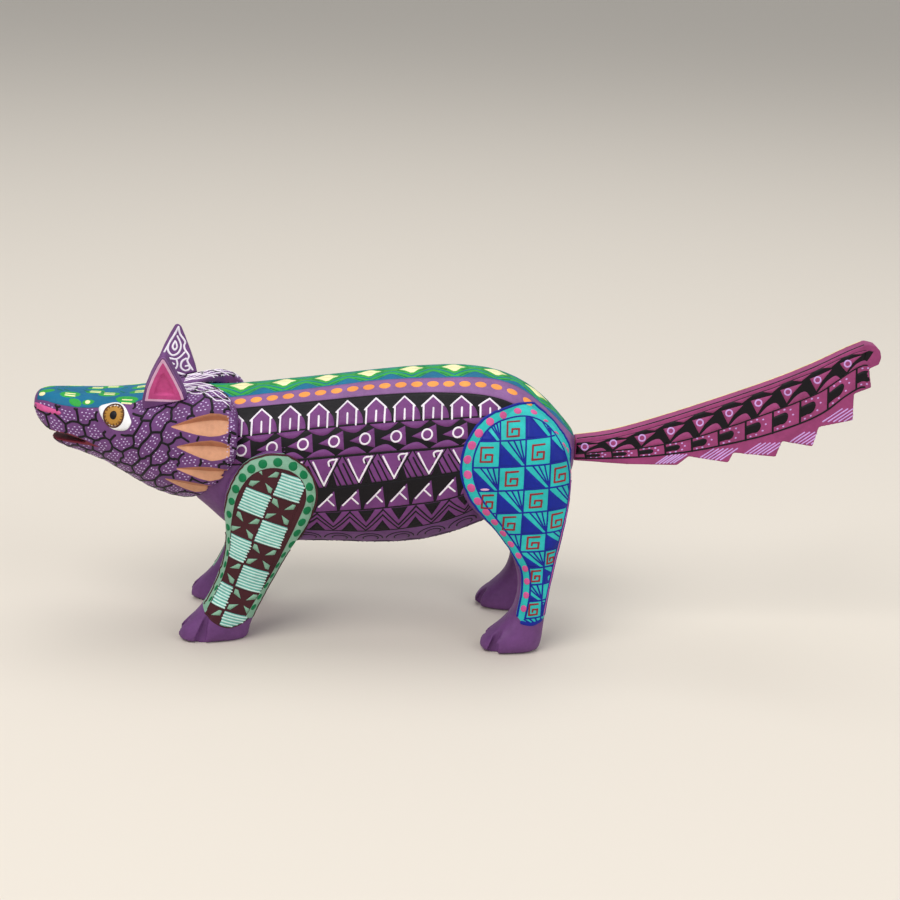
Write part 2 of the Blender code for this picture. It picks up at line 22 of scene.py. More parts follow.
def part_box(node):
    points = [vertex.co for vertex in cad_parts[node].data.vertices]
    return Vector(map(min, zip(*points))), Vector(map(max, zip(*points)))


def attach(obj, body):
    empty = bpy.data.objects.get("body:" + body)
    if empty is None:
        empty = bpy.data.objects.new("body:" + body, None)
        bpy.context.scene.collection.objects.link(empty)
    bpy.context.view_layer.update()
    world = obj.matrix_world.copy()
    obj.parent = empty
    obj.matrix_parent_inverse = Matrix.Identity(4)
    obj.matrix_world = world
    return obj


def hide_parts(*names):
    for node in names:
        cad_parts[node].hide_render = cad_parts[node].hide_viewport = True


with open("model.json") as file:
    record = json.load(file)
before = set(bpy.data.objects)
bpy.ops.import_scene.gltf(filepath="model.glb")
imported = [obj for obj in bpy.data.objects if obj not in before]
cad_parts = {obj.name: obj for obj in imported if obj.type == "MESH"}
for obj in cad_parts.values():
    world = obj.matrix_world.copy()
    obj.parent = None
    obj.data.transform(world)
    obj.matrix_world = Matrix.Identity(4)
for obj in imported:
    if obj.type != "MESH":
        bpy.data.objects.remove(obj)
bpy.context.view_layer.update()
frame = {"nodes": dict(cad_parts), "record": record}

MM = 0.001

# The camera: where it stands, how it is turned, in degrees, and its lens on a 36 mm sensor.
CAMERA_PLACE = (-0.0295, -0.6561, 0.2627)
CAMERA_PITCH = 16.6
CAMERA_YAW = 2.4
CAMERA_ROLL = 2.77
CAMERA_LENS = 76.0

# The figure's sides, with the way each one faces along Y.
SIDES = (("left", -1), ("right", 1))
# Paint colours as red, green and blue from 0 to 255.
PALETTE = {
    "purple": (106, 64, 118),
    "plum": (112, 58, 118),
    "heather": (132, 90, 142),
    "ink": (13, 9, 16),
    "white": (236, 226, 240),
    "orange": (251, 152, 74),
    "green": (44, 158, 62),
    "forest": (0, 112, 66),
    "sea": (4, 104, 142),
    "cream": (250, 238, 180),
    "mint": (128, 172, 148),
    "teal": (104, 172, 162),
    "pale_mint": (196, 226, 218),
    "maroon": (66, 26, 34),
    "turquoise": (40, 182, 178),
    "royal": (14, 34, 142),
    "pink": (206, 86, 146),
    "brick": (140, 40, 48),
    "magenta": (150, 62, 112),
    "rose": (196, 74, 136),
    "blush": (220, 172, 204),
    "peach": (206, 150, 118),
    # A darker peach, painted on the upper walls of the ruff's gouges as shade.
    "shaded_peach": (172, 112, 84),
    "wine": (112, 34, 50),
    "lilac": (202, 158, 222),
    "lilac_white": (206, 186, 226),
    "straw": (236, 214, 150),
    "eye_white": (238, 240, 246),
    "ochre": (176, 128, 54),
    "umber": (84, 48, 30),
}


def make_camera():
    pitch, yaw, roll = (math.radians(a) for a in (CAMERA_PITCH, CAMERA_YAW, CAMERA_ROLL))
    ahead = Vector(
        (math.sin(yaw) * math.cos(pitch), math.cos(yaw) * math.cos(pitch), -math.sin(pitch))
    )
    level = Vector((math.cos(yaw), -math.sin(yaw), 0.0))
    above = level.cross(ahead)
    right = level * math.cos(roll) + above * math.sin(roll)
    up = above * math.cos(roll) - level * math.sin(roll)
    data = bpy.data.cameras.new("camera")
    data.lens = CAMERA_LENS
    data.sensor_width = 36.0
    data.clip_start = 0.01
    data.clip_end = 50.0
    camera = bpy.data.objects.new("camera", data)
    bpy.context.scene.collection.objects.link(camera)
    turn = Matrix((right, up, -ahead)).transposed().to_4x4()
    camera.matrix_world = Matrix.Translation(CAMERA_PLACE) @ turn
    bpy.context.scene.camera = camera


def area_light(name, place, target, size, power, colour):
    data = bpy.data.lights.new(name, "AREA")
    data.shape = "DISK"
    data.size = size
    data.energy = power
    data.color = colour
    lamp = bpy.data.objects.new(name, data)
    bpy.context.scene.collection.objects.link(lamp)
    lamp.location = place
    aim = Vector(target) - Vector(place)
    lamp.rotation_euler = aim.to_track_quat("-Z", "Y").to_euler()


def make_studio():
    """A pale floor that runs to the horizon, soft lights and a pale grey surround."""
    area_light("key", (-0.7, -1.0, 1.5), (0.0, 0.0, 0.06), 1.3, 20.0, (1.0, 0.98, 0.95))
    area_light("fill", (1.3, -0.9, 0.9), (0.0, 0.0, 0.06), 1.2, 7.0, (0.95, 0.97, 1.0))
    area_light("top", (0.1, 0.5, 1.7), (0.0, 0.0, 0.06), 1.4, 11.0, (1.0, 1.0, 1.0))
    bpy.context.scene.view_settings.view_transform = "Standard"
    world = bpy.data.worlds.new("studio")
    bpy.context.scene.world = world
    world.use_nodes = True
    back = world.node_tree.nodes["Background"]
    back.inputs["Color"].default_value = (0.86, 0.87, 0.88, 1.0)
    back.inputs["Strength"].default_value = 0.55
    made = bmesh.new()
    bmesh.ops.create_grid(made, x_segments=1, y_segments=1, size=8.0)
    mesh = bpy.data.meshes.new("floor")
    made.to_mesh(mesh)
    made.free()
    floor = bpy.data.objects.new("floor", mesh)
    bpy.context.scene.collection.objects.link(floor)
    material = bpy.data.materials.new("floor")
    material.use_nodes = True
    shader = material.node_tree.nodes["Principled BSDF"]
    shader.inputs["Base Color"].default_value = (0.72, 0.66, 0.58, 1.0)
    shader.inputs["Roughness"].default_value = 0.6
    mesh.materials.append(material)


# ---------------------------------------------------------------- materials


def linear(colour):
    """A 0 to 255 colour as the shader takes it."""
    steps = (c / 255.0 for c in colour)
    return tuple(c / 12.92 if c <= 0.04045 else ((c + 0.055) / 1.055) ** 2.4 for c in steps)


class Graph:
    """A material's nodes, added and joined by name."""

    def __init__(self, name):
        self.material = bpy.data.materials.new(name)
        self.material.use_nodes = True
        self.tree = self.material.node_tree
        self.shader = self.tree.nodes["Principled BSDF"]

    def add(self, kind, values=(), **settings):
        node = self.tree.nodes.new(kind)
        for key, value in settings.items():
            setattr(node, key, value)
        for socket, value in dict(values).items():
            if isinstance(value, bpy.types.NodeSocket):
                self.tree.links.new(value, node.inputs[socket])
            else:
                node.inputs[socket].default_value = value
        return node

    def noise(self, where, scale, detail=3.0, rough=0.55):
        made = self.add(
            "ShaderNodeTexNoise",
            {"Vector": where, "Scale": scale, "Detail": detail, "Roughness": rough},
        )
        return made.outputs["Fac"]

    def spread(self, value, low, high, from_low=0.3, from_high=0.7):
        made = self.add("ShaderNodeMapRange", {"Value": value, "From Min": from_low})
        made.inputs["From Max"].default_value = from_high
        made.inputs["To Min"].default_value = low
        made.inputs["To Max"].default_value = high
        return made.outputs["Result"]

    def mix(self, amount, one, other):
        made = self.add("ShaderNodeMix", data_type="RGBA")
        for socket, value in ((0, amount), (6, one), (7, other)):
            if isinstance(value, bpy.types.NodeSocket):
                self.tree.links.new(value, made.inputs[socket])
            else:
                made.inputs[socket].default_value = value
        return made.outputs[2]

    def wire(self, value, socket):
        self.tree.links.new(value, self.shader.inputs[socket])

    def ridges(self, height, strength):
        settings = {"Height": height, "Strength": strength, "Distance": RIDGE_HEIGHT}
        self.wire(self.add("ShaderNodeBump", settings).outputs["Normal"], "Normal")


def shade(colour, factor):
    return (*(min(c * factor, 1.0) for c in linear(colour)), 1.0)


# How far the mottling takes a paint from its colour, and the sizes of its patches and its streaks.
MOTTLE = 0.2
PATCH_SCALE = 110.0
FLECK_SCALE = 520.0
STREAK_SCALE = 900.0
# How dark and how light the flecks are, and how much of the colour they make.
FLECK_TONES = (0.72, 1.3)
FLECK_SHARE = 0.35
# The least and greatest roughness of the paint, its specular level, and its ridges' height.
PAINT_ROUGHNESS = (0.42, 0.62)
PAINT_SPECULAR = 0.22
RIDGE_HEIGHT = 0.0001
# The bare wood's pale and dark tones, its roughness and how fine its grain is.
WOOD_TONES = ((222, 190, 140), (176, 132, 82))
WOOD_ROUGHNESS = (0.6, 0.8)
GRAIN_SCALE = 700.0


def mottled(graph, where, colour):
    """A colour as a brush leaves it: uneven patches and small flecks of a lighter or darker tone."""
    patches = graph.spread(graph.noise(where, PATCH_SCALE), 0.0, 1.0)
    flecks = graph.spread(graph.noise(where, FLECK_SCALE, 5.0, 0.7), 0.0, 1.0)
    broad = graph.mix(patches, shade(colour, 1.0 - MOTTLE), shade(colour, 1.0 + MOTTLE))
    fine = graph.mix(flecks, *(shade(colour, tone) for tone in FLECK_TONES))
    return graph.mix(FLECK_SHARE, broad, fine)


def brushed(graph, where):
    """The roughness and the fine ridges of brushed acrylic paint."""
    stretch = graph.add("ShaderNodeMapping", {"Vector": where, "Scale": (0.35, 1.0, 1.0)})
    streaks = graph.noise(stretch.outputs["Vector"], STREAK_SCALE, 4.0, 0.6)
    graph.wire(graph.spread(streaks, *PAINT_ROUGHNESS), "Roughness")
    graph.shader.inputs["Specular IOR Level"].default_value = PAINT_SPECULAR
    graph.ridges(streaks, 0.35)


def paint(name):
    """The material of a paint colour, made on first use."""
    made = bpy.data.materials.get("paint_" + name)
    if made is None:
        graph = Graph("paint_" + name)
        where = graph.add("ShaderNodeTexCoord").outputs["Object"]
        graph.wire(mottled(graph, where, PALETTE[name]), "Base Color")
        brushed(graph, where)
        made = graph.material
    return made


def zoned_paint(name, ground, zones):
    """A carving's own material: a ground, and colours where its stored values are above zero."""
    graph = Graph("paint_" + name)
    where = graph.add("ShaderNodeTexCoord").outputs["Object"]
    colour = mottled(graph, where, PALETTE[ground])
    for zone, tone in zones:
        value = graph.add("ShaderNodeAttribute", attribute_name=zone).outputs["Fac"]
        over = graph.add("ShaderNodeMath", {0: value, 1: 0.0}, operation="GREATER_THAN")
        colour = graph.mix(over.outputs[0], colour, mottled(graph, where, PALETTE[tone]))
    graph.wire(colour, "Base Color")
    brushed(graph, where)
    return graph.material


def bare_wood():
    """Copal wood, as the hidden dowels show it: pale, with grain along its length."""
    graph = Graph("bare_wood")
    where = graph.add("ShaderNodeTexCoord").outputs["Object"]
    stretch = graph.add("ShaderNodeMapping", {"Vector": where, "Scale": (0.2, 1.0, 1.0)})
    grain = graph.noise(stretch.outputs["Vector"], GRAIN_SCALE, 6.0, 0.65)
    tones = (shade(tone, 1.0) for tone in WOOD_TONES)
    graph.wire(graph.mix(graph.spread(grain, 0.0, 1.0), *tones), "Base Color")
    graph.wire(graph.spread(grain, *WOOD_ROUGHNESS), "Roughness")
    graph.ridges(grain, 0.4)
    return graph.material


# ---------------------------------------------------------------- carved skins

SHARP_ANGLE = math.radians(33.0)
SHARP_STEP = 0.4 * MM


def evaluated_mesh(obj):
    bpy.context.view_layer.update()
    graph = bpy.context.evaluated_depsgraph_get()
    return bpy.data.meshes.new_from_object(obj.evaluated_get(graph))


def welded(node):
    """The CAD node's solid as a bmesh without doubled points."""
    made = bmesh.new()
    made.from_mesh(frame["nodes"][node].data)
    bmesh.ops.remove_doubles(made, verts=made.verts, dist=1e-6)
    return made


def new_object(made, name):
    mesh = bpy.data.meshes.new(name)
    made.to_mesh(mesh)
    made.free()
    obj = bpy.data.objects.new(name, mesh)
    bpy.context.scene.collection.objects.link(obj)
    return obj


def add_smoothing(obj, rounds, group=""):
    smooth = obj.modifiers.new("smooth", "SMOOTH")
    smooth.factor = 0.5
    smooth.iterations = rounds
    smooth.vertex_group = group


def apply_modifiers(obj):
    """Give the object its modified mesh for its own."""
    mesh = evaluated_mesh(obj)
    obj.modifiers.clear()
    obj.data = mesh
    return mesh


def clamped(value):
    return min(max(value, 0.0), 1.0)


def sharp_points(made):
    """Points along every edge of the solid that is cut sharply."""
    points = []
    for edge in made.edges:
        if len(edge.link_faces) == 2 and edge.calc_face_angle() > SHARP_ANGLE:
            a, b = (v.co for v in edge.verts)
            count = max(1, math.ceil((b - a).length / SHARP_STEP))
            points += [a.lerp(b, i / count) for i in range(count + 1)]
    return points


def smooth_copy(node, voxel, rounds, keep=(0.5, 2.5), sanding=2):
    """A dense, smooth copy of a CAD node. Its sharp cuts stay, softened as by sanding."""
    made = welded(node)
    edges = sharp_points(made)
    obj = new_object(made, node + "_carving")
    remesh = obj.modifiers.new("grain", "REMESH")
    remesh.mode = "VOXEL"
    remesh.voxel_size = voxel * MM
    dense = apply_modifiers(obj)
    tree = KDTree(len(edges))
    for i, point in enumerate(edges):
        tree.insert(point, i)
    tree.balance()
    near, far = (d * MM for d in keep)
    group = obj.vertex_groups.new(name="round")
    for vert in dense.vertices:
        distance = tree.find(vert.co)[2]
        group.add([vert.index], clamped((distance - near) / (far - near)), "REPLACE")
    add_smoothing(obj, rounds, "round")
    add_smoothing(obj, sanding)
    final = apply_modifiers(obj)
    obj.vertex_groups.clear()
    final.shade_smooth()
    return obj


def section_hull(made, x):
    """The convex outline of a solid's section across X, as (y, z) points."""
    cut = made.copy()
    everything = cut.verts[:] + cut.edges[:] + cut.faces[:]
    result = bmesh.ops.bisect_plane(cut, geom=everything, plane_co=(x, 0, 0), plane_no=(1, 0, 0))
    points = [v.co.yz for v in result["geom_cut"] if isinstance(v, bmesh.types.BMVert)]
    cut.free()
    return [points[i] for i in convex_hull_2d(points)]


def reach(hull, centre, ahead):
    """How far it is from a centre inside a convex outline to the outline."""
    for a, b in zip(hull, hull[1:] + hull[:1]):
        side, start = b - a, a - centre
        across = ahead.cross(side)
        if abs(across) > 1e-12:
            distance = start.cross(side) / across
            along = start.cross(ahead) / across
            if distance > 0 and -1e-6 <= along <= 1 + 1e-6:
                return distance
    return 0.0


def filled_sections(node, spacing, count):
    """Rings of the node's sections with every pocket in its sides filled, and their faces."""
    made = welded(node)
    low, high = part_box(node)
    edge = 0.02 * MM
    steps = math.ceil((high[0] - low[0]) / (spacing * MM))
    filled = bmesh.new()
    rings = []
    for i in range(steps + 1):
        x = low[0] + edge + (high[0] - low[0] - 2 * edge) * i / steps
        hull = section_hull(made, x)
        middle = (min(p.y for p in hull) + max(p.y for p in hull)) / 2
        centre = Vector((0.0, middle))
        ring = []
        for k in range(count):
            ahead = Vector((math.sin(math.tau * k / count), math.cos(math.tau * k / count)))
            place = centre + ahead * reach(hull, centre, ahead)
            ring.append(filled.verts.new((x, place.x, place.y)))
        rings.append(ring)
    made.free()
    for one, other in zip(rings, rings[1:]):
        for k in range(count):
            j = (k + 1) % count
            filled.faces.new((one[k], other[k], other[j], one[j]))
    filled.faces.new(rings[0])
    filled.faces.new(rings[-1])
    bmesh.ops.recalc_face_normals(filled, faces=filled.faces)
    return filled


# The hole that the tail's tenon slides in, as its lowest and highest corners.
TAIL_SOCKET = ((28.0, -2.2, 66.6), (44.0, 2.2, 72.6))
# How far from the rump's end the smoothing fades out.
RUMP_EDGE = 5.0


def trunk_copy(node, spacing, count, rounds):
    """A smooth torso whose leg pockets are filled, because the legs cover them."""
    obj = new_object(filled_sections(node, spacing, count), node + "_carving")
    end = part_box(node)[1][0]
    group = obj.vertex_groups.new(name="round")
    for vert in obj.data.vertices:
        group.add([vert.index], clamped((end - vert.co.x) / (RUMP_EDGE * MM) - 0.1), "REPLACE")
    add_smoothing(obj, rounds, "round")
    box = bmesh.new()
    bmesh.ops.create_cube(box, size=1.0)
    low, high = (Vector(corner) * MM for corner in TAIL_SOCKET)
    for vert in box.verts:
        vert.co = Vector(((low + high) / 2)[i] + vert.co[i] * (high - low)[i] for i in range(3))
    socket = new_object(box, "tail_socket")
    cut = obj.modifiers.new("socket", "BOOLEAN")
    cut.operation = "DIFFERENCE"
    cut.object = socket
    final = apply_modifiers(obj)
    obj.vertex_groups.clear()
    bpy.data.objects.remove(socket)
    final.shade_smooth()
    final.set_sharp_from_angle(angle=math.radians(50.0))
    return obj


class Skin:
    """The surface of a carving, as the brush finds it."""

    def __init__(self, obj):
        mesh = obj.data
        mesh.calc_loop_triangles()
        places = [v.co for v in mesh.vertices]
        self.tree = BVHTree.FromPolygons(places, [t.vertices[:] for t in mesh.loop_triangles])

    def hit(self, start, ahead):
        """The place and the normal where a ray in millimetres meets the skin, or None."""
        place, normal, _, _ = self.tree.ray_cast(Vector(start) * MM, Vector(ahead))
        return None if place is None else (place, normal)

    def nearest(self, point):
        place, normal, _, _ = self.tree.find_nearest(point)
        return place, normal


# ---------------------------------------------------------------- charts

# Where rays start from, this far outside the figure.
OUTSIDE = 90.0


class Cover:
    """A skin and another one, which counts where it stands further out and clear of two limits."""

    def __init__(self, skin, other, lowest, innermost):
        self.skin = skin
        self.other = other
        self.lowest = lowest
        self.innermost = innermost

    def hit(self, start, ahead):
        found, hit = self.skin.hit(start, ahead), self.other.hit(start, ahead)
        if hit is None or hit[0].z < self.lowest * MM or abs(hit[0].y) < self.innermost * MM:
            return found
        if found is None or (found[0] - hit[0]).dot(Vector(ahead)) > 0.0:
            return hit
        return found


def round_chart(skin, height, side):
    """A chart round a line along X: x, and the angle down from the top in degrees, on one side."""

    def chart(x, degrees):
        angle = math.radians(degrees)
        out = Vector((0.0, side * math.sin(angle), math.cos(angle)))
        return skin.hit(Vector((x, 0.0, height(x))) + OUTSIDE * out, -out)

    return chart


def side_chart(skin, side):
    """A chart of what shows from one side: x and z."""

    def chart(x, z):
        return skin.hit((x, side * OUTSIDE, z), (0.0, -side, 0.0))

    return chart


def band_chart(chart, upper, lower, height):
    """A chart of the strip between two edges: x, and y running down from 0 to height."""

    def within(x, y):
        top, bottom = upper(x), lower(x)
        return chart(x, top + (bottom - top) * y / height)

    return within


def smooth_function(points):
    """The smooth curve through (x, value) points, level beyond its ends."""

    def value(x):
        if x <= points[0][0]:
            return points[0][1]
        if x >= points[-1][0]:
            return points[-1][1]
        i = max(k for k in range(len(points) - 1) if points[k][0] <= x)
        before = points[max(i - 1, 0)][1]
        after = points[min(i + 2, len(points) - 1)][1]
        t = (x - points[i][0]) / (points[i + 1][0] - points[i][0])
        return catmull(before, points[i][1], points[i + 1][1], after, t)

    return value


def catmull(a, b, c, d, t):
    """The Catmull-Rom value at t from b to c."""
    return 0.5 * (
        2 * b + (c - a) * t + (2 * a - 5 * b + 4 * c - d) * t * t + (3 * b - a - 3 * c + d) * t**3
    )


def curve(points, closed=False, steps=6):
    """A smooth chain through the points."""
    count = len(points)
    made = []
    for i in range(count if closed else count - 1):
        if closed:
            around = [points[(i + k) % count] for k in (-1, 0, 1, 2)]
        else:
            around = [points[min(max(i + k, 0), count - 1)] for k in (-1, 0, 1, 2)]
        for step in range(steps):
            made.append(tuple(catmull(*axis, step / steps) for axis in zip(*around)))
    if not closed:
        made.append(points[-1])
    return made


def sampled(points, step, closed=False):
    """Points about a step apart along a chain, with its corners kept."""
    chain = list(points) + ([points[0]] if closed else [])
    made = []
    for (ax, ay), (bx, by) in zip(chain, chain[1:]):
        count = max(1, round(math.hypot(bx - ax, by - ay) / step))
        made += [(ax + (bx - ax) * i / count, ay + (by - ay) * i / count) for i in range(count)]
    return made if closed else made + [chain[-1]]


def arc(cx, cy, rx, ry, start, end, steps=10):
    """Points of an ellipse's arc, with angles in degrees from the x direction."""
    angles = (math.radians(start + (end - start) * i / steps) for i in range(steps + 1))
    return [(cx + rx * math.cos(a), cy + ry * math.sin(a)) for a in angles]


def inside(outline, x, y):
    """Whether a point lies inside a closed outline."""
    odd = False
    for (ax, ay), (bx, by) in zip(outline, outline[1:] + outline[:1]):
        if (ay > y) != (by > y) and x < ax + (bx - ax) * (y - ay) / (by - ay):
            odd = not odd
    return odd


def clipped(outline, cell):
    """The part of an outline inside a convex cell, whose corners run anticlockwise."""
    kept = list(outline)
    for (ax, ay), (bx, by) in zip(cell, cell[1:] + cell[:1]):
        turned = []
        for (px, py), (qx, qy) in zip(kept, kept[1:] + kept[:1]):
            p_in = (bx - ax) * (py - ay) - (by - ay) * (px - ax)
            q_in = (bx - ax) * (qy - ay) - (by - ay) * (qx - ax)
            if p_in >= 0:
                turned.append((px, py))
            if p_in * q_in < 0:
                t = p_in / (p_in - q_in)
                turned.append((px + (qx - px) * t, py + (qy - py) * t))
        kept = turned
    return kept


# ---------------------------------------------------------------- brushwork

# How far apart a stroke's rings are.
STROKE_STEP = 0.6
# A brush line ends where the surface under it jumps by more than this.
STROKE_JUMP = 3.0
# How deep the edge of any paint is sunk, and how fine a filled shape's inside and its edge are.
SINK = 0.04
FILL_STEP = 1.2
EDGE_STEP = 0.9
# Points inside a filled shape stay this far from its edge.
FILL_CLEAR = 0.45
# How thick a filled ground is, and a shape that is filled over it.
GROUND = 0.05
SHAPE = 0.09
# A stroke's cross-section and its rounded end, and a dab's rings: fractions of the half width
# and of the height, where None is the sunk edge.
STROKE_SHAPE = ((-1.0, None), (-0.72, 0.74), (0.0, 1.0), (0.72, 0.74), (1.0, None))
CAP_STEPS = (0.96, 0.75, 0.4)
DAB_SHAPE = ((1.0, None), (0.93, 0.5), (0.66, 0.86), (0.33, 0.97))
DAB_SIDES = 14
SPECK_SIDES = 6


# The outlines of the legs' paint by side, which the torso's own paint stays out of; the height
# they all lie above; and how far inside one a filled shape's corner may be to go onto its edge.
leg_limits = {-1: [], 1: []}
LEG_PAINT_LOW = 34.0
PULL = 2.2
# How far a drop of paint may move to settle on the wood.
SETTLE = 3.0


def nearest_on(outline, x, z):
    """The place on a closed outline nearest a point, and how far it is."""
    best, found = math.inf, None
    for (ax, az), (bx, bz) in zip(outline, outline[1:] + outline[:1]):
        dx, dz = bx - ax, bz - az
        share = clamped(((x - ax) * dx + (z - az) * dz) / (dx * dx + dz * dz + 1e-12))
        place = (ax + share * dx, az + share * dz)
        gap = math.dist(place, (x, z))
        if gap < best:
            best, found = gap, place
    return found, best


def footing(chart, at, hit):
    """A hit's place and normal, and the directions along and across the chart there."""
    ahead = chart(at[0] + 0.3, at[1])
    if not hit or not ahead:
        return None
    place, normal = hit
    along = ahead[0] - place
    along = (along - normal * along.dot(normal)).normalized()
    return place, normal, along, normal.cross(along)


class Coat:
    """The paint of one colour on one carving. It gathers all its brushwork into one mesh."""

    def __init__(self, node, colour):
        self.node = node
        self.colour = colour
        self.skins = [skins[node]]
        if node == "torso":
            self.skins += [skins[word + "_hind_leg"] for word, _ in SIDES]
        if node.endswith("leg"):
            self.skins.append(skins["torso"])
        self.verts = []
        self.faces = []
        self.hand = random.Random(node + colour)

    def settled(self, spot, normal):
        """The wood nearest a spot. Where a leg meets the torso, that is the one further out."""
        found = [skin.nearest(spot) for skin in self.skins]
        near = [hit for hit in found if (hit[0] - spot).length < SETTLE * MM] or found[:1]
        return max(near, key=lambda hit: hit[0].dot(normal))

    def seen(self, hit, pull=False):
        """The hit, unless a leg's paint is there; one just past its edge can be pulled onto it."""
        if hit is None or self.node != "torso":
            return hit
        side = 1 if hit[0].y > 0 else -1
        x, z = hit[0].x / MM, hit[0].z / MM
        for outline in leg_limits[side]:
            if z > LEG_PAINT_LOW and inside(outline, x, z):
                edge, gap = nearest_on(outline, x, z)
                return trunk_side(side)(*edge) if pull and gap < PULL else None
        return hit

    def drift(self, count, size):
        """Numbers that wander slowly, as a hand does."""
        knots = [self.hand.uniform(-size, size) for _ in range(count // 6 + 3)]
        made = []
        for i in range(count):
            k, t = divmod(i / 6.0, 1.0)
            t = t * t * (3 - 2 * t)
            made.append(knots[int(k)] * (1 - t) + knots[int(k) + 1] * t)
        return made

    def stroke(self, chart, points, width, height=0.12, closed=False, within=None):
        """A brush line along a chain of chart points. It breaks where the surface ends or jumps."""
        run = []
        samples = sampled(points, STROKE_STEP, closed)
        for at in samples:
            hit = self.seen(chart(*at)) if within is None or within(*at) else None
            if hit and run and (hit[0] - run[-1][0]).length > STROKE_JUMP * MM:
                self.ribbon(run, width, height, False)
                run = []
            if hit:
                run.append(hit)
            else:
                self.ribbon(run, width, height, False)
                run = []
        self.ribbon(run, width, height, closed and len(run) == len(samples))

    def lines(self, chart, corners, width, height=0.12, closed=False, within=None):
        """Straight strokes from corner to corner."""
        chain = list(corners) + ([corners[0]] if closed else [])
        for one, other in zip(chain, chain[1:]):
            self.stroke(chart, [one, other], width, height, within=within)

    def ribbon(self, run, width, height, closed):
        count = len(run)
        if count < 2:
            return
        sway = self.drift(count, 0.05)
        swell = self.drift(count, 0.1)
        rings = []
        for i, (place, normal) in enumerate(run):
            before = run[i - 1][0] if i or closed else place
            after = run[(i + 1) % count][0] if closed or i < count - 1 else place
            along = (after - before).normalized()
            aside = normal.cross(along).normalized()
            half = width * (1 + (0 if closed else swell[i])) / 2
            place = place + aside * (0 if closed else sway[i]) * MM
            rings.append((place, normal, along, aside, half, 1.0))
        if not closed:
            rings = self.cap(rings[0], -1.0)[::-1] + rings + self.cap(rings[-1], 1.0)
        first = len(self.verts)
        size = len(STROKE_SHAPE)
        for place, normal, _, aside, half, rise in rings:
            for across, up in STROKE_SHAPE:
                lift = -SINK if up is None else up * rise * height
                self.verts.append(place + (aside * across * half + normal * lift) * MM)
        for i in range(len(rings) if closed else len(rings) - 1):
            one = first + i * size
            other = first + (i + 1) % len(rings) * size
            for k in range(size - 1):
                self.faces.append((one + k, other + k, other + k + 1, one + k + 1))

    def cap(self, ring, way):
        """The rounded end of a stroke, from the ring outwards."""
        place, normal, along, aside, half, _ = ring
        made = []
        for step in sorted(CAP_STEPS):
            narrow = math.sqrt(1 - step * step)
            centre = place + along * way * step * half * MM
            made.append((centre, normal, along, aside, half * narrow, narrow**0.5))
        return made

    def dab(self, chart, at, length, width, turn=0.0, height=0.2):
        """A drop of paint: an oval whose length lies along the chart's first direction."""
        found = footing(chart, at, self.seen(chart(*at)))
        if not found:
            return
        place, normal, along, aside = found
        lean = math.radians(turn)
        first = len(self.verts)
        for out, up in DAB_SHAPE:
            lift = -SINK if up is None else up * height
            for k in range(DAB_SIDES):
                angle = math.tau * k / DAB_SIDES
                dx = out * length / 2 * math.cos(angle)
                dy = out * width / 2 * math.sin(angle)
                across = dx * math.cos(lean) - dy * math.sin(lean)
                beside = dx * math.sin(lean) + dy * math.cos(lean)
                spot, up_there = self.settled(place + (along * across + aside * beside) * MM, normal)
                self.verts.append(spot + up_there * lift * MM)
        for ring in range(len(DAB_SHAPE) - 1):
            for k in range(DAB_SIDES):
                j = (k + 1) % DAB_SIDES
                one = first + ring * DAB_SIDES
                other = one + DAB_SIDES
                self.faces.append((one + k, one + j, other + j, other + k))
        top = first + (len(DAB_SHAPE) - 1) * DAB_SIDES
        self.verts.append(place + normal * height * MM)
        crown = len(self.verts) - 1
        for k in range(DAB_SIDES):
            self.faces.append((top + k, top + (k + 1) % DAB_SIDES, crown))

    def speck(self, chart, at, length, width, height=0.14):
        """A very small mark, too small to need a round edge."""
        found = footing(chart, at, chart(*at))
        if not found:
            return
        place, normal, along, aside = found
        first = len(self.verts)
        for k in range(SPECK_SIDES):
            angle = math.tau * k / SPECK_SIDES
            spread = along * length * math.cos(angle) + aside * width * math.sin(angle)
            self.verts.append(place + (spread / 2 - normal * SINK) * MM)
            self.faces.append((first + k, first + (k + 1) % SPECK_SIDES, first + SPECK_SIDES))
        self.verts.append(place + normal * height * MM)

    def fill(self, chart, outline, height=GROUND):
        """A filled shape, given by its outline in the chart, with a thin painted edge."""
        if len(outline) < 3:
            return
        edge = sampled(outline, EDGE_STEP, closed=True)
        edge = [p for p, q in zip(edge, edge[-1:] + edge) if math.dist(p, q) > 0.02]
        count = len(edge)
        if count < 3:
            return
        xs, ys = [p[0] for p in edge], [p[1] for p in edge]
        spots = list(edge)
        for i in range(1, math.ceil((max(xs) - min(xs)) / FILL_STEP)):
            for k in range(1, math.ceil((max(ys) - min(ys)) / FILL_STEP)):
                spot = (min(xs) + i * FILL_STEP, min(ys) + k * FILL_STEP)
                clear = all(math.dist(spot, p) > FILL_CLEAR for p in edge)
                if clear and inside(edge, *spot):
                    spots.append(spot)
        rim = [(i, (i + 1) % count) for i in range(count)]
        flat = [Vector(p) for p in spots]
        places, _, faces, _, _, _ = delaunay_2d_cdt(flat, rim, [], 1, 1e-5)
        hits = [self.seen(chart(*p), pull=True) for p in places]
        first = len(self.verts)
        for hit in hits:
            place, normal = hit if hit else (Vector(), Vector())
            self.verts.append(place + normal * height * MM)
        used = [face for face in faces if all(hits[i] for i in face)]
        if self.faces_inwards(used, hits):
            used = [face[::-1] for face in used]
        self.faces += [tuple(first + i for i in face) for face in used]
        self.skirt(used, hits, first)

    def faces_inwards(self, faces, hits):
        turn = 0.0
        for face in faces:
            a, b, c = (hits[i][0] for i in face[:3])
            turn += (b - a).cross(c - a).dot(hits[face[0]][1])
        return turn < 0

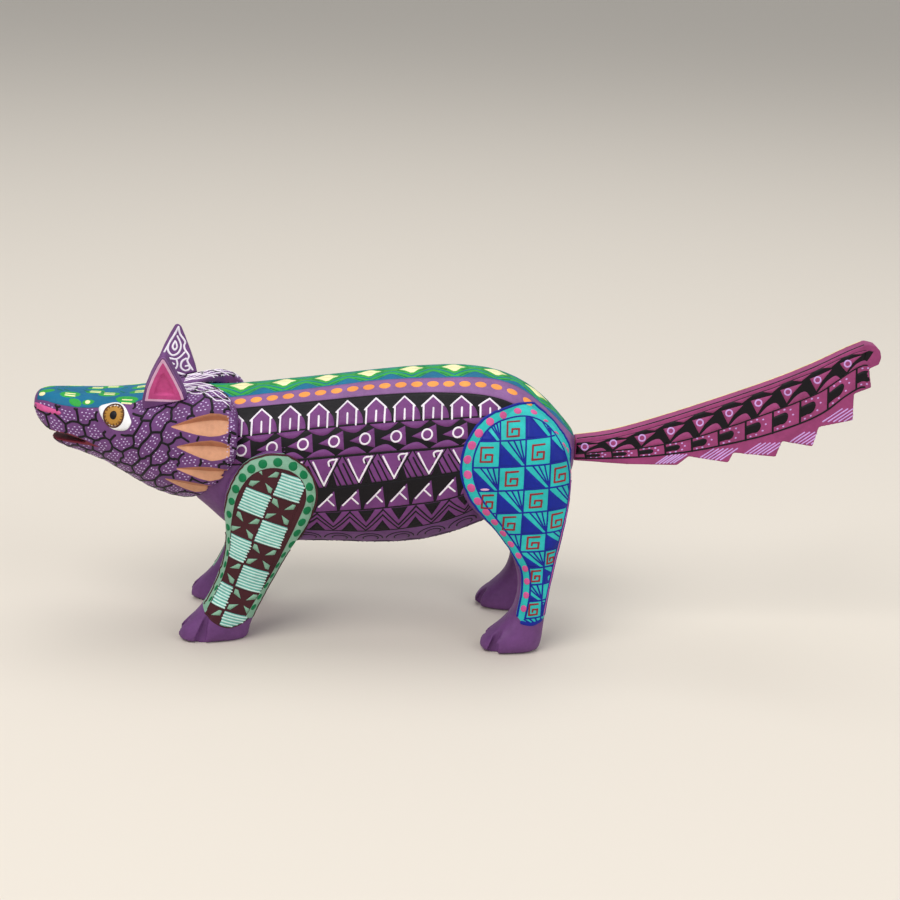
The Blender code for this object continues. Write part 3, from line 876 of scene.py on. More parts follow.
    def skirt(self, faces, hits, first):
        """Sink the open edge of a filled shape into the wood."""
        sides = {}
        for face in faces:
            for a, b in zip(face, face[1:] + face[:1]):
                sides[a, b] = True
        sunk = {}
        for a, b in sides:
            if (b, a) in sides:
                continue
            for i in (a, b):
                if i not in sunk:
                    place, normal = hits[i]
                    sunk[i] = len(self.verts)
                    self.verts.append(place - normal * SINK * MM)
            self.faces.append((first + b, first + a, sunk[a], sunk[b]))

    def build(self):
        mesh = bpy.data.meshes.new(f"{self.node}_{self.colour}")
        mesh.from_pydata(self.verts, [], self.faces)
        obj = bpy.data.objects.new(mesh.name, mesh)
        bpy.context.scene.collection.objects.link(obj)
        tidy = bmesh.new()
        tidy.from_mesh(mesh)
        loose = [v for v in tidy.verts if not v.link_faces]
        bmesh.ops.delete(tidy, geom=loose, context="VERTS")
        tidy.to_mesh(mesh)
        tidy.free()
        mesh.materials.append(paint(self.colour))
        mesh.shade_smooth()
        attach(obj, BODY_OF[self.node])


coats = {}


def coat(node, colour):
    """The coat of this colour on this carving, begun on first use."""
    if (node, colour) not in coats:
        coats[node, colour] = Coat(node, colour)
    return coats[node, colour]


def brushes(node, *colours):
    """The coats of these colours on one carving."""
    return [coat(node, colour) for colour in colours]


# ---------------------------------------------------------------- the torso's bands

# The torso's painting is in bands along it. Each band's lower edge is given in degrees down from
# the back, at these places along X, and each band's depth in millimetres scales its motifs.
BAND_X = (-82, -55, -30, -5, 20, 39)
BAND_EDGES = {
    "spine": (25, 20, 16, 17, 14, 26),
    "beads": (40, 36, 32, 31, 35, 60),
    "houses": (67, 60, 54, 50, 49, 80),
    "rings": (92, 83, 76, 70, 64, 90),
    "vees": (112, 107, 99, 90, 82, 100),
    "forks": (132, 126, 120, 112, 100, 120),
    "zigzag": (147, 142, 141, 133, 118, 140),
}
BAND_DEPTH = {
    "spine": 9.0,
    "beads": 8.0,
    "houses": 10.0,
    "rings": 10.0,
    "vees": 12.0,
    "forks": 9.5,
    "zigzag": 9.0,
    "belly": 18.0,
}
TORSO_AXIS = [(-93, 66.0), (42, 66.0)]
BAND_LINE = 0.7


# Above this height the torso's bands run on over the top of the hind leg.
HIND_LEG_TOP = 80.0


def trunk_skin(side):
    """The torso with the top of one side's hind leg."""
    word = "left" if side < 0 else "right"
    return Cover(skins["torso"], skins[word + "_hind_leg"], HIND_LEG_TOP, 0.0)


def trunk_side(side):
    return side_chart(trunk_skin(side), side)


def torso_bands(side):
    """A chart for each band of one side, by the band's name."""
    chart = round_chart(trunk_skin(side), smooth_function(TORSO_AXIS), side)
    made = {}
    upper = smooth_function([(x, 0.0) for x in BAND_X])
    for name, depth in BAND_DEPTH.items():
        degrees = BAND_EDGES.get(name, [180.0] * len(BAND_X))
        lower = smooth_function(list(zip(BAND_X, degrees)))
        made[name] = band_chart(chart, upper, lower, depth)
        upper = lower
    return made


def strip(start, end, top, bottom):
    return [(start, top), (end, top), (end, bottom), (start, bottom)]


def steps(start, end, pitch):
    return [start + i * pitch for i in range(math.floor((end - start) / pitch) + 1)]


def paint_spine(chart, depth):
    """Green waves between cream points on the back and blue hills along the edge."""
    green, sea, cream, forest = brushes("torso", "green", "sea", "cream", "forest")
    pitch = 15.0
    green.fill(chart, strip(-92.6, 41.5, 0.0, depth))
    for x in steps(-92.0, 38.0, pitch):
        hill = [(x + 2.2, depth)] + curve([(x + 4.6, 6.6), (x + 7.5, 4.4), (x + 10.4, 6.6)])
        sea.fill(chart, hill + [(x + 12.8, depth)], SHAPE)
        cup = [(x - 4.4, 0.0), (x - 2.6, 1.6), (x - 0.4, 4.6), (x + 0.8, 4.4), (x + 2.4, 1.4), (x + 4.2, 0.0)]
        cream.fill(chart, cup, SHAPE)
        wave = curve([(x, 7.2), (x + 3.4, 4.4), (x + 7.5, 1.9), (x + 11.6, 4.4), (x + pitch, 7.2)])
        sea.stroke(chart, wave, 0.7, 0.14)
        for dx, way in ((1.6, 1), (13.4, -1)):
            tick = [(x + dx, 8.4), (x + dx + way * 3.2, 5.6)]
            forest.stroke(chart, tick, 0.6, 0.13)
            crest = [(x + dx + way * 1.2, 3.2), (x + dx + way * 3.4, 1.2)]
            forest.stroke(chart, crest, 0.6, 0.13)
    sea.stroke(chart, [(-92.0, depth - 0.3), (41.0, depth - 0.3)], 0.9, 0.12)


def paint_beads(chart, depth):
    """A row of orange ovals on light purple."""
    heather, orange = brushes("torso", "heather", "orange")
    heather.fill(chart, strip(-86.0, 41.0, 0.0, depth))
    for x in steps(-82.4, 38.0, 5.6):
        orange.dab(chart, (x, depth * 0.47), 4.3, 3.1, 4.0)


def paint_houses(chart, depth):
    """Small white-lined houses with a purple lobe at their backs, on black."""
    ink, plum, white = brushes("torso", "ink", "plum", "white")
    half, eaves, ridge = 3.2, 5.0, 8.6
    ink.fill(chart, strip(-86.0, 24.0, 0.0, depth))
    for x in steps(-78.8, 14.0, 9.9):
        walls = [(x - half, depth), (x - half, depth - eaves), (x, depth - ridge)]
        walls += [(x + half, depth - eaves), (x + half, depth)]
        lobe = arc(x + half - 0.4, depth, 2.9, 5.2, -90.0, 0.0)
        plum.fill(chart, walls, SHAPE)
        plum.fill(chart, [(x + half - 0.4, depth)] + lobe, SHAPE)
        eave_tips = ((x - half - 0.5, depth - eaves + 0.2), (x + half + 0.4, depth - eaves))
        white.lines(chart, [walls[0], walls[1]], 0.75, 0.2)
        white.lines(chart, [eave_tips[0], walls[2], eave_tips[1]], 0.75, 0.2)
        white.lines(chart, [walls[3], walls[4]], 0.75, 0.2)
        white.lines(chart, [(x + 0.2, depth - 0.7), (x + 0.2, depth - 4.0)], 0.8, 0.2)


def paint_rings(chart, depth):
    """White rings on purple arrowheads, between purple lenses, on black."""
    ink, plum, white = brushes("torso", "ink", "plum", "white")
    middle = depth / 2
    ink.fill(chart, strip(-86.0, 24.0, 0.0, depth))
    for x in steps(-75.4, 14.0, 10.7):
        head = [(x - 5.4, middle + 0.3), (x + 3.0, middle - 3.3), (x + 3.6, middle + 3.2)]
        plum.fill(chart, head, SHAPE)
        for edge, way in ((0.35, 1), (depth - 0.35, -1)):
            crown = [(x - 6.6, edge + way * 1.7), (x - 3.0, edge + way * 2.3)]
            lens = curve([(x - 9.4, edge), *crown, (x + 0.6, edge)])
            plum.fill(chart, lens, SHAPE)
        ring = arc(x, middle, 1.75, 1.75, 0.0, 360.0, 24)[:-1]
        white.stroke(chart, ring, 0.75, 0.22, closed=True)
    ink.stroke(chart, [(-84.0, 0.0), (20.0, 0.0)], BAND_LINE, 0.15)
    ink.stroke(chart, [(-84.0, depth), (20.0, depth)], BAND_LINE, 0.15)


def paint_vees(chart, depth):
    """Purple triangles that hang point down, with a white hooked fork, and hatching between."""
    plum, ink, white = brushes("torso", "plum", "ink", "white")
    half, tip = 5.7, depth - 0.3
    pitch = 12.1
    plum.fill(chart, strip(-66.0, 22.0, 0.0, depth))
    for x in steps(-58.4, 18.0, pitch):
        triangle = [(x - half, 0.3), (x + half, 0.3), (x, tip)]
        ink.lines(chart, triangle, 0.6, 0.13, closed=True)
        for share in (0.1, 0.28, 0.46, 0.64, 0.82):
            foot = x + pitch * (share + 0.16)
            top = max(abs(share - 0.45) * 2 * depth - 1.4, 0.6)
            lean = 4.4 * (1 - top / depth)
            ink.stroke(chart, [(foot - lean, top), (foot + 0.6, depth)], 0.75, 0.13)
        wedge = [(x + 0.6, depth), (x + 2.9, 6.0), (x + 4.6, depth)]
        ink.fill(chart, wedge, SHAPE)
        fork = [(x - 4.0, 1.6), (x, tip - 0.8), (x + 4.2, 1.2)]
        white.lines(chart, fork, 0.75, 0.2)
        hook = curve([(x + 4.2, 1.2), (x + 2.2, 1.3), (x + 1.3, 2.0), (x + 1.6, 3.4)])
        white.stroke(chart, hook, 0.7, 0.2)
    ink.stroke(chart, [(-62.0, depth), (20.0, depth)], BAND_LINE, 0.14)


def paint_forks(chart, depth):
    """Purple sails with a white forked mark, on black."""
    ink, plum, white = brushes("torso", "ink", "plum", "white")
    ink.fill(chart, strip(-66.0, 22.0, 0.0, depth))
    for x in steps(-59.5, 18.0, 8.4):
        sail = [(x - 6.4, depth), (x - 5.8, depth - 2.2), (x, 1.6), (x + 1.2, depth)]
        plum.fill(chart, sail, SHAPE)
        ink.stroke(chart, [(x + 1.4, 1.8), (x + 1.8, depth)], 0.6, 0.14)
        long = [(x - 5.2, depth - 2.2), (x - 0.8, 2.8)]
        branch = [(x - 2.4, 4.6), (x, depth - 2.4)]
        white.lines(chart, long, 0.75, 0.2)
        white.lines(chart, branch, 0.75, 0.2)
    ink.stroke(chart, [(-62.0, depth), (20.0, depth)], BAND_LINE, 0.14)


def paint_zigzag(chart, depth):
    """A broad purple zigzag between black triangles."""
    plum, ink = brushes("torso", "plum", "ink")
    pitch, half = 11.5, 2.9
    low = depth - 0.2
    plum.fill(chart, strip(-66.0, 24.0, 0.0, depth))
    for x in steps(-60.0, 20.0, pitch):
        middle = x + pitch / 2
        hanging = [(middle - half, 0.4), (middle + half, 0.4), (middle, depth * 0.56)]
        standing = [(x - half, low), (x, depth * 0.5), (x + half, low)]
        ink.fill(chart, hanging, SHAPE)
        ink.fill(chart, standing, SHAPE)
        for side in (0.0, 1.0):
            peak, dip = 0.6 + side * 2.0, low - 1.7 + side * 1.6
            slope = [(x, peak), (middle, dip), (x + pitch, peak)]
            ink.lines(chart, slope, 0.75, 0.13)
    ink.stroke(chart, [(-62.0, depth), (24.0, depth)], 0.6, 0.14)


def paint_belly(chart, _depth):
    """Thin black curls on the dark underside."""
    for row, top in enumerate((1.2, 7.0, 12.6)):
        for x in steps(-52.0 + 4.0 * row, 12.0, 11.0):
            wave = arc(x, top + 3.6, 4.8, 3.2, 180.0, 360.0)
            curl = arc(x + 0.6, top + 3.4, 2.7, 1.7, 160.0, 390.0)
            coat("torso", "ink").stroke(chart, wave, 0.6, 0.12)
            coat("torso", "ink").stroke(chart, curl, 0.6, 0.12)


BAND_PAINTERS = {
    "spine": paint_spine,
    "beads": paint_beads,
    "houses": paint_houses,
    "rings": paint_rings,
    "vees": paint_vees,
    "forks": paint_forks,
    "zigzag": paint_zigzag,
    "belly": paint_belly,
}


def paint_torso():
    for side in (-1, 1):
        charts = torso_bands(side)
        for name, painter in BAND_PAINTERS.items():
            painter(charts[name], BAND_DEPTH[name])


# ---------------------------------------------------------------- the legs

# The painted field on each kind of leg, up its front, over its top and down its back, and then
# the edge along the foot, back to front, as x and z.
FRONT_FIELD = [
    (-86.2, 12.6), (-81.2, 23.6), (-78.8, 34.0), (-78.0, 46.0), (-76.0, 55.6), (-71.4, 63.0),
    (-64.8, 66.0), (-58.0, 65.0), (-53.6, 61.0), (-52.6, 54.4), (-55.6, 46.0), (-60.0, 35.4),
    (-64.4, 25.6), (-69.2, 17.0), (-72.8, 10.2),
]
FRONT_FOOT = [(-72.0, 8.8), (-75.0, 6.9), (-78.8, 6.2), (-82.8, 7.8), (-87.0, 11.0)]
HIND_FIELD = [
    (26.4, 14.0), (27.6, 23.0), (26.8, 32.0), (22.6, 39.6), (15.6, 49.0), (8.4, 58.4),
    (5.2, 67.0), (6.0, 75.0), (10.4, 82.2), (17.4, 85.3), (24.6, 85.8), (31.0, 82.9),
    (36.0, 76.8), (38.8, 69.0), (39.4, 61.0), (38.6, 52.0), (36.4, 40.0), (34.6, 28.0),
    (33.2, 18.0), (32.8, 14.4),
]
HIND_FOOT = [(32.4, 12.8), (28.8, 11.8), (25.4, 12.4)]
# The front leg's grid: one of its corners, and its two sides.
FRONT_GRID = ((-64.1, 56.4), (9.1, -3.0), (-3.2, -8.7))
# The hind leg's grid: its upright lines, the rows' edges at x = 23, and how fast rows climb.
HIND_COLUMNS = (-3.8, 5.2, 14.2, 23.2, 32.0, 40.8)
HIND_ROWS = (88.0, 79.2, 70.4, 62.0, 53.6, 45.4, 38.6, 32.4, 26.0, 19.8, 13.6, 9.0)
HIND_CLIMB = 0.09
# A thin line replaces the border's dots behind this x and under this z.
HIND_BACK = (30.0, 66.0)
# A small chip in the paint of the left hind leg.
CHIP = (9.6, 61.4)
# How wide the painted border round each field is, unless the surface ends first.
FRONT_BORDER = [(-80.0, 3.2), (-70.0, 4.6), (-60.0, 4.8), (-51.0, 4.0)]
HIND_BORDER = [(5.0, 4.3), (14.0, 3.6), (24.0, 3.3), (36.0, 2.5)]
# The legs' painting reaches over the torso's flank, down to this distance from the middle.
FLANK_OUT = 10.0
# How far past a leg's own edge its border colour goes round.
WRAP = 1.5


def leg_chart(node, side):
    """A side chart of what shows at a leg: the leg, or the torso where that stands further out."""
    return side_chart(Cover(skins[node], skins["torso"], 0.0, FLANK_OUT), side)


def edge_distance(chart, at, way, reach):
    """How far the surface goes on from a chart point, in a straight line."""
    distance = 0.0
    while distance < reach:
        if chart(at[0] + way[0] * distance, at[1] + way[1] * distance) is None:
            break
        distance += 0.2
    return distance


def leg_border(chart, field, reach):
    """Each point along the field's edge, the way out from it, and how wide the border is there."""
    made = []
    chain = sampled(curve(field), 0.8)
    for i, (x, z) in enumerate(chain):
        before, after = chain[max(i - 3, 0)], chain[min(i + 3, len(chain) - 1)]
        dx, dz = after[0] - before[0], after[1] - before[1]
        size = math.hypot(dx, dz)
        way = (-dz / size, dx / size)
        made.append(((x, z), way, edge_distance(chart, (x, z), way, reach(x))))
    return made


def leg_plan(node, side):
    """Where a leg is painted: its border, the border's outer line, and the field's outline."""
    front = node.endswith("front_leg")
    field, foot = (FRONT_FIELD, FRONT_FOOT) if front else (HIND_FIELD, HIND_FOOT)
    reach = smooth_function(FRONT_BORDER if front else HIND_BORDER)
    border = leg_border(leg_chart(node, side), field, reach)
    wrapped = []
    for at, way, width in border:
        ends_early = width <= reach(at[0]) - 0.1
        wrapped.append((at, way, width + WRAP if ends_early else width))
    return {
        "border": border,
        "rim": pushed(border, 1.0, 0.4),
        "limit": pushed(wrapped, 1.0) + curve(foot),
        "field": [at for at, _, _ in border] + curve(foot),
    }


def pushed(border, share, less=0.0):
    """The chain of points this share of the way across the border."""
    made = []
    for (x, z), (wx, wz), width in border:
        out = max(width - less, 0.0) * share
        made.append((x + wx * out, z + wz * out))
    return made


def beads_between(node, colour, chart, border, pitch, widest):
    """Round dots along the middle of the border, narrower where it narrows."""
    path = pushed(border, 0.5, 0.7)
    travelled = pitch * 0.4
    for i in range(1, len(path)):
        travelled += math.dist(path[i], path[i - 1])
        width = border[i][2] - 0.8
        if travelled >= pitch and width > 0.7:
            travelled = 0.0
            wx, wz = border[i][1]
            turn = math.degrees(math.atan2(-wx, wz))
            size = min(widest, width)
            coat(node, colour).dab(chart, path[i], max(size, widest * 0.8), size, turn, 0.22)


def grid_square(i, j):
    """The places in one square of the front leg's grid, by their shares of its two sides."""
    (cx, cz), (ux, uz), (vx, vz) = FRONT_GRID

    def at(a, b):
        return (cx + (i + a) * ux + (j + b) * vx, cz + (i + a) * uz + (j + b) * vz)

    return at


def paint_front_leg(node, side):
    chart, plan = leg_chart(node, side), plans[node]
    border, field = plan["border"], plan["field"]
    coat(node, "maroon").stroke(chart, plan["rim"], 0.9, 0.26)
    coat(node, "maroon").stroke(chart, [p[0] for p in border], 0.5, 0.14)
    coat(node, "maroon").stroke(chart, curve(FRONT_FOOT), 0.7, 0.16)
    beads_between(node, "forest", chart, border, 4.3, 3.3)

    def in_field(x, z):
        return inside(field, x, z)

    hand = random.Random(node)
    for i in (-2, -1, 0, 1):
        for j in range(-2, 7):
            at = grid_square(i, j)
            cell = [at(0.03, 0.03), at(0.03, 0.97), at(0.97, 0.97), at(0.97, 0.03)]
            part = clipped(field, cell)
            if len(part) < 3 or abs(signed_area(part)) < 16.0:
                continue
            if (i + j) % 2:
                paint_striped(node, chart, part, at, in_field, hand)
            else:
                paint_pinwheel(node, chart, field, at, hand)
            corners = [at(0, 0), at(1, 0), at(1, 1), at(0, 1)]
            coat(node, "maroon").lines(chart, corners, 0.5, 0.17, True, in_field)


def paint_striped(node, chart, part, at, within, hand):
    """A mint square with white stripes across it."""
    coat(node, "teal").fill(chart, part, 0.12)
    for k in range(8):
        b = (k + 0.7) / 8.4
        ends = [at(0.03 + hand.uniform(0, 0.04), b), at(0.95 + hand.uniform(0, 0.05), b + 0.02)]
        coat(node, "pale_mint").stroke(chart, ends, 0.68, 0.22, within=within)


def paint_pinwheel(node, chart, field, at, hand):
    """Four mint petals on maroon, from the square's middle to its corners."""
    for sx in (-1, 1):
        for sy in (-1, 1):
            sway = hand.uniform(-0.03, 0.03)
            petal = [(0.1, 0.12), (0.3 + sway, 0.42), (0.42, 0.43), (0.43, 0.4 + sway), (0.42, 0.24)]
            shape = [at(0.5 + sx * a, 0.5 + sy * b) for a, b in petal]
            if signed_area(shape) < 0:
                shape.reverse()
            coat(node, "mint").fill(chart, clipped(field, shape), 0.13)


def signed_area(outline):
    pairs = zip(outline, outline[1:] + outline[:1])
    return sum(ax * by - bx * ay for (ax, ay), (bx, by) in pairs) / 2


def paint_hind_leg(node, side):
    chart, plan = leg_chart(node, side), plans[node]
    border, field = plan["border"], plan["field"]
    coat(node, "royal").stroke(chart, plan["rim"], 1.0, 0.26)
    coat(node, "royal").stroke(chart, [p[0] for p in border], 0.7, 0.16)
    coat(node, "royal").stroke(chart, curve(HIND_FOOT), 1.4, 0.16)
    beads_between(node, "pink", chart, border, 4.7, 3.2)
    back = [at for at in pushed(border, 0.5, 0.3) if at[0] > HIND_BACK[0] and at[1] < HIND_BACK[1]]
    coat(node, "pink").stroke(chart, back, 0.6, 0.18)

    if side < 0:
        coat(node, "blush").dab(chart, CHIP, 3.4, 0.9, 6.0, 0.2)

    def in_field(x, z):
        return inside(field, x, z)

    for i, (left, right) in enumerate(zip(HIND_COLUMNS, HIND_COLUMNS[1:])):
        for j, (high, low) in enumerate(zip(HIND_ROWS, HIND_ROWS[1:])):
            rise_left, rise_right = (left - 23.0) * HIND_CLIMB, (right - 23.0) * HIND_CLIMB
            cell = [(left, low + rise_left), (right, low + rise_right)]
            cell += [(right, high + rise_right), (left, high + rise_left)]
            part = clipped(field, cell)
            if len(part) < 3 or abs(signed_area(part)) < 3.0:
                continue
            coat(node, "royal").lines(chart, cell, 0.6, 0.15, True, in_field)
            if (i + j) % 2 == 0:
                paint_fret(node, chart, part)
            else:
                paint_fan(node, chart, field, cell, in_field)


def paint_fret(node, chart, part):
    """A squared spiral in dark red, as large as the visible part of its square."""
    xs, zs = [p[0] for p in part], [p[1] for p in part]
    wide, high = max(xs) - min(xs), max(zs) - min(zs)
    if min(wide, high) < 3.0:
        return
    middle_x, middle_z = (max(xs) + min(xs)) / 2, (max(zs) + min(zs)) / 2
    a, b = min(wide * 0.28, 2.2), min(high * 0.31, 2.6)
    spiral = [(0.95, 1), (-0.9, 0.85), (-0.95, -1), (0.85, -0.85), (0.9, 0.05), (-0.15, 0), (-0.2, -0.4)]
    path = [(middle_x + a * u, middle_z + b * v) for u, v in spiral]
    coat(node, "brick").lines(chart, path, 0.75, 0.17)


def paint_fan(node, chart, field, cell, within):
    """A blue wedge in the lower left of the square, and blue rays beside it."""
    (ax, az), (bx, bz), (cx, cz), (dx, dz) = cell
    wedge = [(ax, az), (bx - 0.12 * (bx - ax), bz), (dx, dz - 0.06 * (dz - az))]
    coat(node, "royal").fill(chart, clipped(field, wedge), 0.1)
    for share in (0.28, 0.52, 0.76):
        top = (dx + (cx - dx) * share, dz + (cz - dz) * share)
        coat(node, "royal").stroke(chart, [top, (bx, bz + 0.4)], 0.6, 0.15, within=within)


def paint_legs():
    for name, side in SIDES:
        paint_front_leg(name + "_front_leg", side)
        paint_hind_leg(name + "_hind_leg", side)


# ---------------------------------------------------------------- the head

# The middle of the head's section along X, from which its chart looks out.
HEAD_AXIS = [(-150, 79.4), (-142, 75.4), (-134, 73.6), (-125, 72.0), (-100, 69.4), (-78, 71.0)]
# The snout's painted strip: its lower edge in degrees down from the top.
STRIP_EDGE = [(-149.5, 66), (-145, 56), (-134, 56), (-126, 53), (-113, 43), (-104, 26), (-96, 22)]
STRIP_END = -104.0
# How wide the head is round its section, for laying out scales of one size.
SCALE_RADIUS = [(-148, 9.0), (-140, 11.0), (-125, 15.0), (-110, 20.0), (-96, 24.0), (-80, 26.0)]
# How far apart the scales are along a row and between rows, how far they stay from a gouge, and
# the longest side that a scale may have.
SCALE_PITCH = 7.0
SCALE_ROW = SCALE_PITCH * 0.86
SCALE_MARGIN = 0.7
SCALE_SIDE = 14.0
# The gouges in the ruff, as they are cut: fore tip, widest place and rear end as x and z, and
# half their height at the last two.
GOUGES = [
    ((-99.8, 78.4), (-86.0, 80.2), (-79.6, 80.8), 3.8, 2.6),
    ((-97.8, 71.6), (-85.4, 71.2), (-79.0, 71.6), 3.6, 2.0),
    ((-98.0, 63.4), (-86.0, 62.0), (-80.0, 62.4), 2.9, 1.5),
    ((-102.2, 58.6), (-91.6, 55.6), (-84.8, 55.4), 2.3, 0.9),
]
EYE_CENTRE = (-120.0, 79.6)
EYE_CLEAR = 7.0
# The red of the mouth, which runs a little past the cut at its corner, as x and z.
MOUTH_RED = [(-152.0, 72.2), (-152.0, 67.7), (-142.0, 67.3), (-125.4, 66.9), (-136.0, 70.8)]
LIP = [(-149.2, 80.6), (-145.0, 80.0), (-139.9, 78.7), (-140.6, 77.5), (-145.0, 77.9), (-149.0, 78.4)]


def gouge_middle(gouge):
    """Places along the middle of a gouge, as x and z, with half its height at each."""
    (tip_x, tip_z), (wide_x, wide_z), (end_x, end_z), half, end_half = gouge
    return [
        (tip_x, tip_z, 0.1),
        (tip_x + (wide_x - tip_x) / 3, tip_z + (wide_z - tip_z) / 3, half * 0.42),
        (tip_x + (wide_x - tip_x) * 2 / 3, tip_z + (wide_z - tip_z) * 2 / 3, half * 0.78),
        (wide_x, wide_z, half),
        ((wide_x + end_x) / 2, (wide_z + end_z) / 2, (half + end_half) * 0.56),
        (end_x, end_z, end_half),
    ]


def gouge_outline(gouge, margin=0.0):
    """The leaf that a gouge leaves on the ruff, as x and z, or one that is larger all round."""
    middle = gouge_middle(gouge)
    middle[0] = (middle[0][0] - margin, middle[0][1], middle[0][2])
    middle[-1] = (middle[-1][0] + margin, middle[-1][1], middle[-1][2])
    upper = [(x, z + size + margin) for x, z, size in middle]
    lower = [(x, z - size - margin) for x, z, size in middle]
    return upper + lower[::-1]


def gouge_shaded_upper(gouge):
    """The part of a gouge above its crease line, where a darker peach is painted as shade."""
    upper = [(x, z + size * 1.1) for x, z, size in gouge_middle(gouge)]
    shaded_crease = [(x, z + size * 0.35) for x, z, size in gouge_middle(gouge)]
    return upper + shaded_crease[::-1]


def plane_chart(skin, centre):
    """A chart in millimetres on the plane that touches the skin at a hit; u runs along +X."""
    place, normal = centre
    along = (Vector((1, 0, 0)) - normal * normal.x).normalized()
    up = normal.cross(along)
    if up.z < 0:
        up = -up

    def chart(u, v):
        start = place / MM + along * u + up * v + normal * 6.0
        return skin.hit(start, -normal)

    return chart


def paint_eye(side):
    eye_white, ochre, umber, ink = brushes("head", "eye_white", "ochre", "umber", "ink")
    skin = skins["head"]
    chart = plane_chart(skin, side_chart(skin, side)(*EYE_CENTRE))
    upper_lid = [(-6.2, 2.8), (-3.4, 4.3), (0.2, 4.8), (3.6, 2.8), (6.0, -1.2)]
    lower_lid = [(6.2, -3.0), (4.4, -4.9), (1.4, -5.1), (-1.6, -4.2), (-4.4, -1.4)]
    lid = curve(upper_lid + lower_lid, closed=True)
    eye_white.fill(chart, lid, 0.22)
    centre = (-0.4, 0.1)
    ochre.dab(chart, centre, 7.9, 8.3, 0.0, 0.5)
    for k in range(26):
        angle = math.tau * (k + 0.3 * math.sin(k * 2.1)) / 26
        ends = [(centre[0] + r * math.cos(angle), centre[1] + r * math.sin(angle)) for r in (2.9, 3.6)]
        umber.stroke(chart, ends, 0.26, 0.52)
    rim = arc(*centre, 3.8, 4.0, 0.0, 360.0, 36)[:-1]
    umber.stroke(chart, rim, 0.8, 0.4, closed=True)
    ink.dab(chart, centre, 3.5, 3.9, 0.0, 0.68)


def voronoi_lines(seeds):
    """The borders between the seeds' cells, each as its two ends."""
    places, _, faces, _, _, _ = delaunay_2d_cdt([Vector(p) for p in seeds], [], [], 0, 1e-6)
    centres = []
    sides = {}
    for i, face in enumerate(faces):
        (ax, ay), (bx, by), (cx, cy) = (places[k] for k in face)
        d = 2 * (ax * (by - cy) + bx * (cy - ay) + cx * (ay - by))
        a2, b2, c2 = ax * ax + ay * ay, bx * bx + by * by, cx * cx + cy * cy
        centres.append(
            (
                (a2 * (by - cy) + b2 * (cy - ay) + c2 * (ay - by)) / d,
                (a2 * (cx - bx) + b2 * (ax - cx) + c2 * (bx - ax)) / d,
            )
        )
        for a, b in zip(face, face[1:] + face[:1]):
            sides.setdefault((min(a, b), max(a, b)), []).append(i)
    return [(centres[p[0]], centres[p[1]]) for p in sides.values() if len(p) == 2]


def scale_chart(side):
    """A chart of the head's side: x, and how far down from the strip, in millimetres."""
    chart = round_chart(skins["head"], smooth_function(HEAD_AXIS), side)
    edge = smooth_function(STRIP_EDGE)
    radius = smooth_function(SCALE_RADIUS)

    def down(x, y):
        return chart(x, edge(x) + math.degrees(y / radius(x)))

    return down


def scales_free(side):
    """A test for the places on the head that its scales may cover."""
    chart = scale_chart(side)
    leaves = [gouge_outline(g, SCALE_MARGIN) for g in GOUGES] + [MOUTH_RED, LIP]
    eye = side_chart(skins["head"], side)(*EYE_CENTRE)[0]
    edge = smooth_function(STRIP_EDGE)
    radius = smooth_function(SCALE_RADIUS)

    def free(x, y):
        hit = chart(x, y)
        if hit is None or y < 0.6 or edge(x) + math.degrees(y / radius(x)) > 180.0:
            return False
        place = hit[0] / MM
        if (hit[0] - eye).length < EYE_CLEAR * MM or hit[1].x > 0.6:
            return False
        return not any(inside(leaf, place.x, place.z) for leaf in leaves)

    return free


def paint_scales(side):
    """Black-lined scales with rows of small pale dashes in them."""
    hand = random.Random(side)
    chart = scale_chart(side)
    free = scales_free(side)
    seeds = []
    rows = math.ceil(90.0 / SCALE_ROW)
    for j in range(-1, rows):
        for i in range(-1, 14):
            x = -152.0 + (i + 0.5 * (j % 2)) * SCALE_PITCH + hand.uniform(-1.5, 1.5)
            seeds.append((x, 2.6 + j * SCALE_ROW + hand.uniform(-1.3, 1.3)))
    lines = voronoi_lines(seeds)
    for a, b in lines:
        if math.dist(a, b) > SCALE_SIDE:
            continue
        chain = [a]
        for share in (0.33, 0.67):
            bend = hand.uniform(-0.6, 0.6)
            chain.append((a[0] + (b[0] - a[0]) * share + bend, a[1] + (b[1] - a[1]) * share + bend))
        coat("head", "ink").stroke(chart, curve(chain + [b], steps=4), 0.95, 0.16, within=free)
    for x, y in seeds:
        for i in range(-2, 3):
            for j in range(-3, 4):
                drift = hand.uniform(-0.2, 0.2)
                spot = (x + i * 1.5 + (j % 2) * 0.7 + drift, y + j * 1.15 - drift)
                clear = min(math.dist(spot, seed) for seed in seeds if seed != (x, y))
                if math.dist(spot, (x, y)) < clear - 1.9 and free(*spot):
                    coat("head", "lilac_white").speck(chart, spot, 0.95, 0.55)


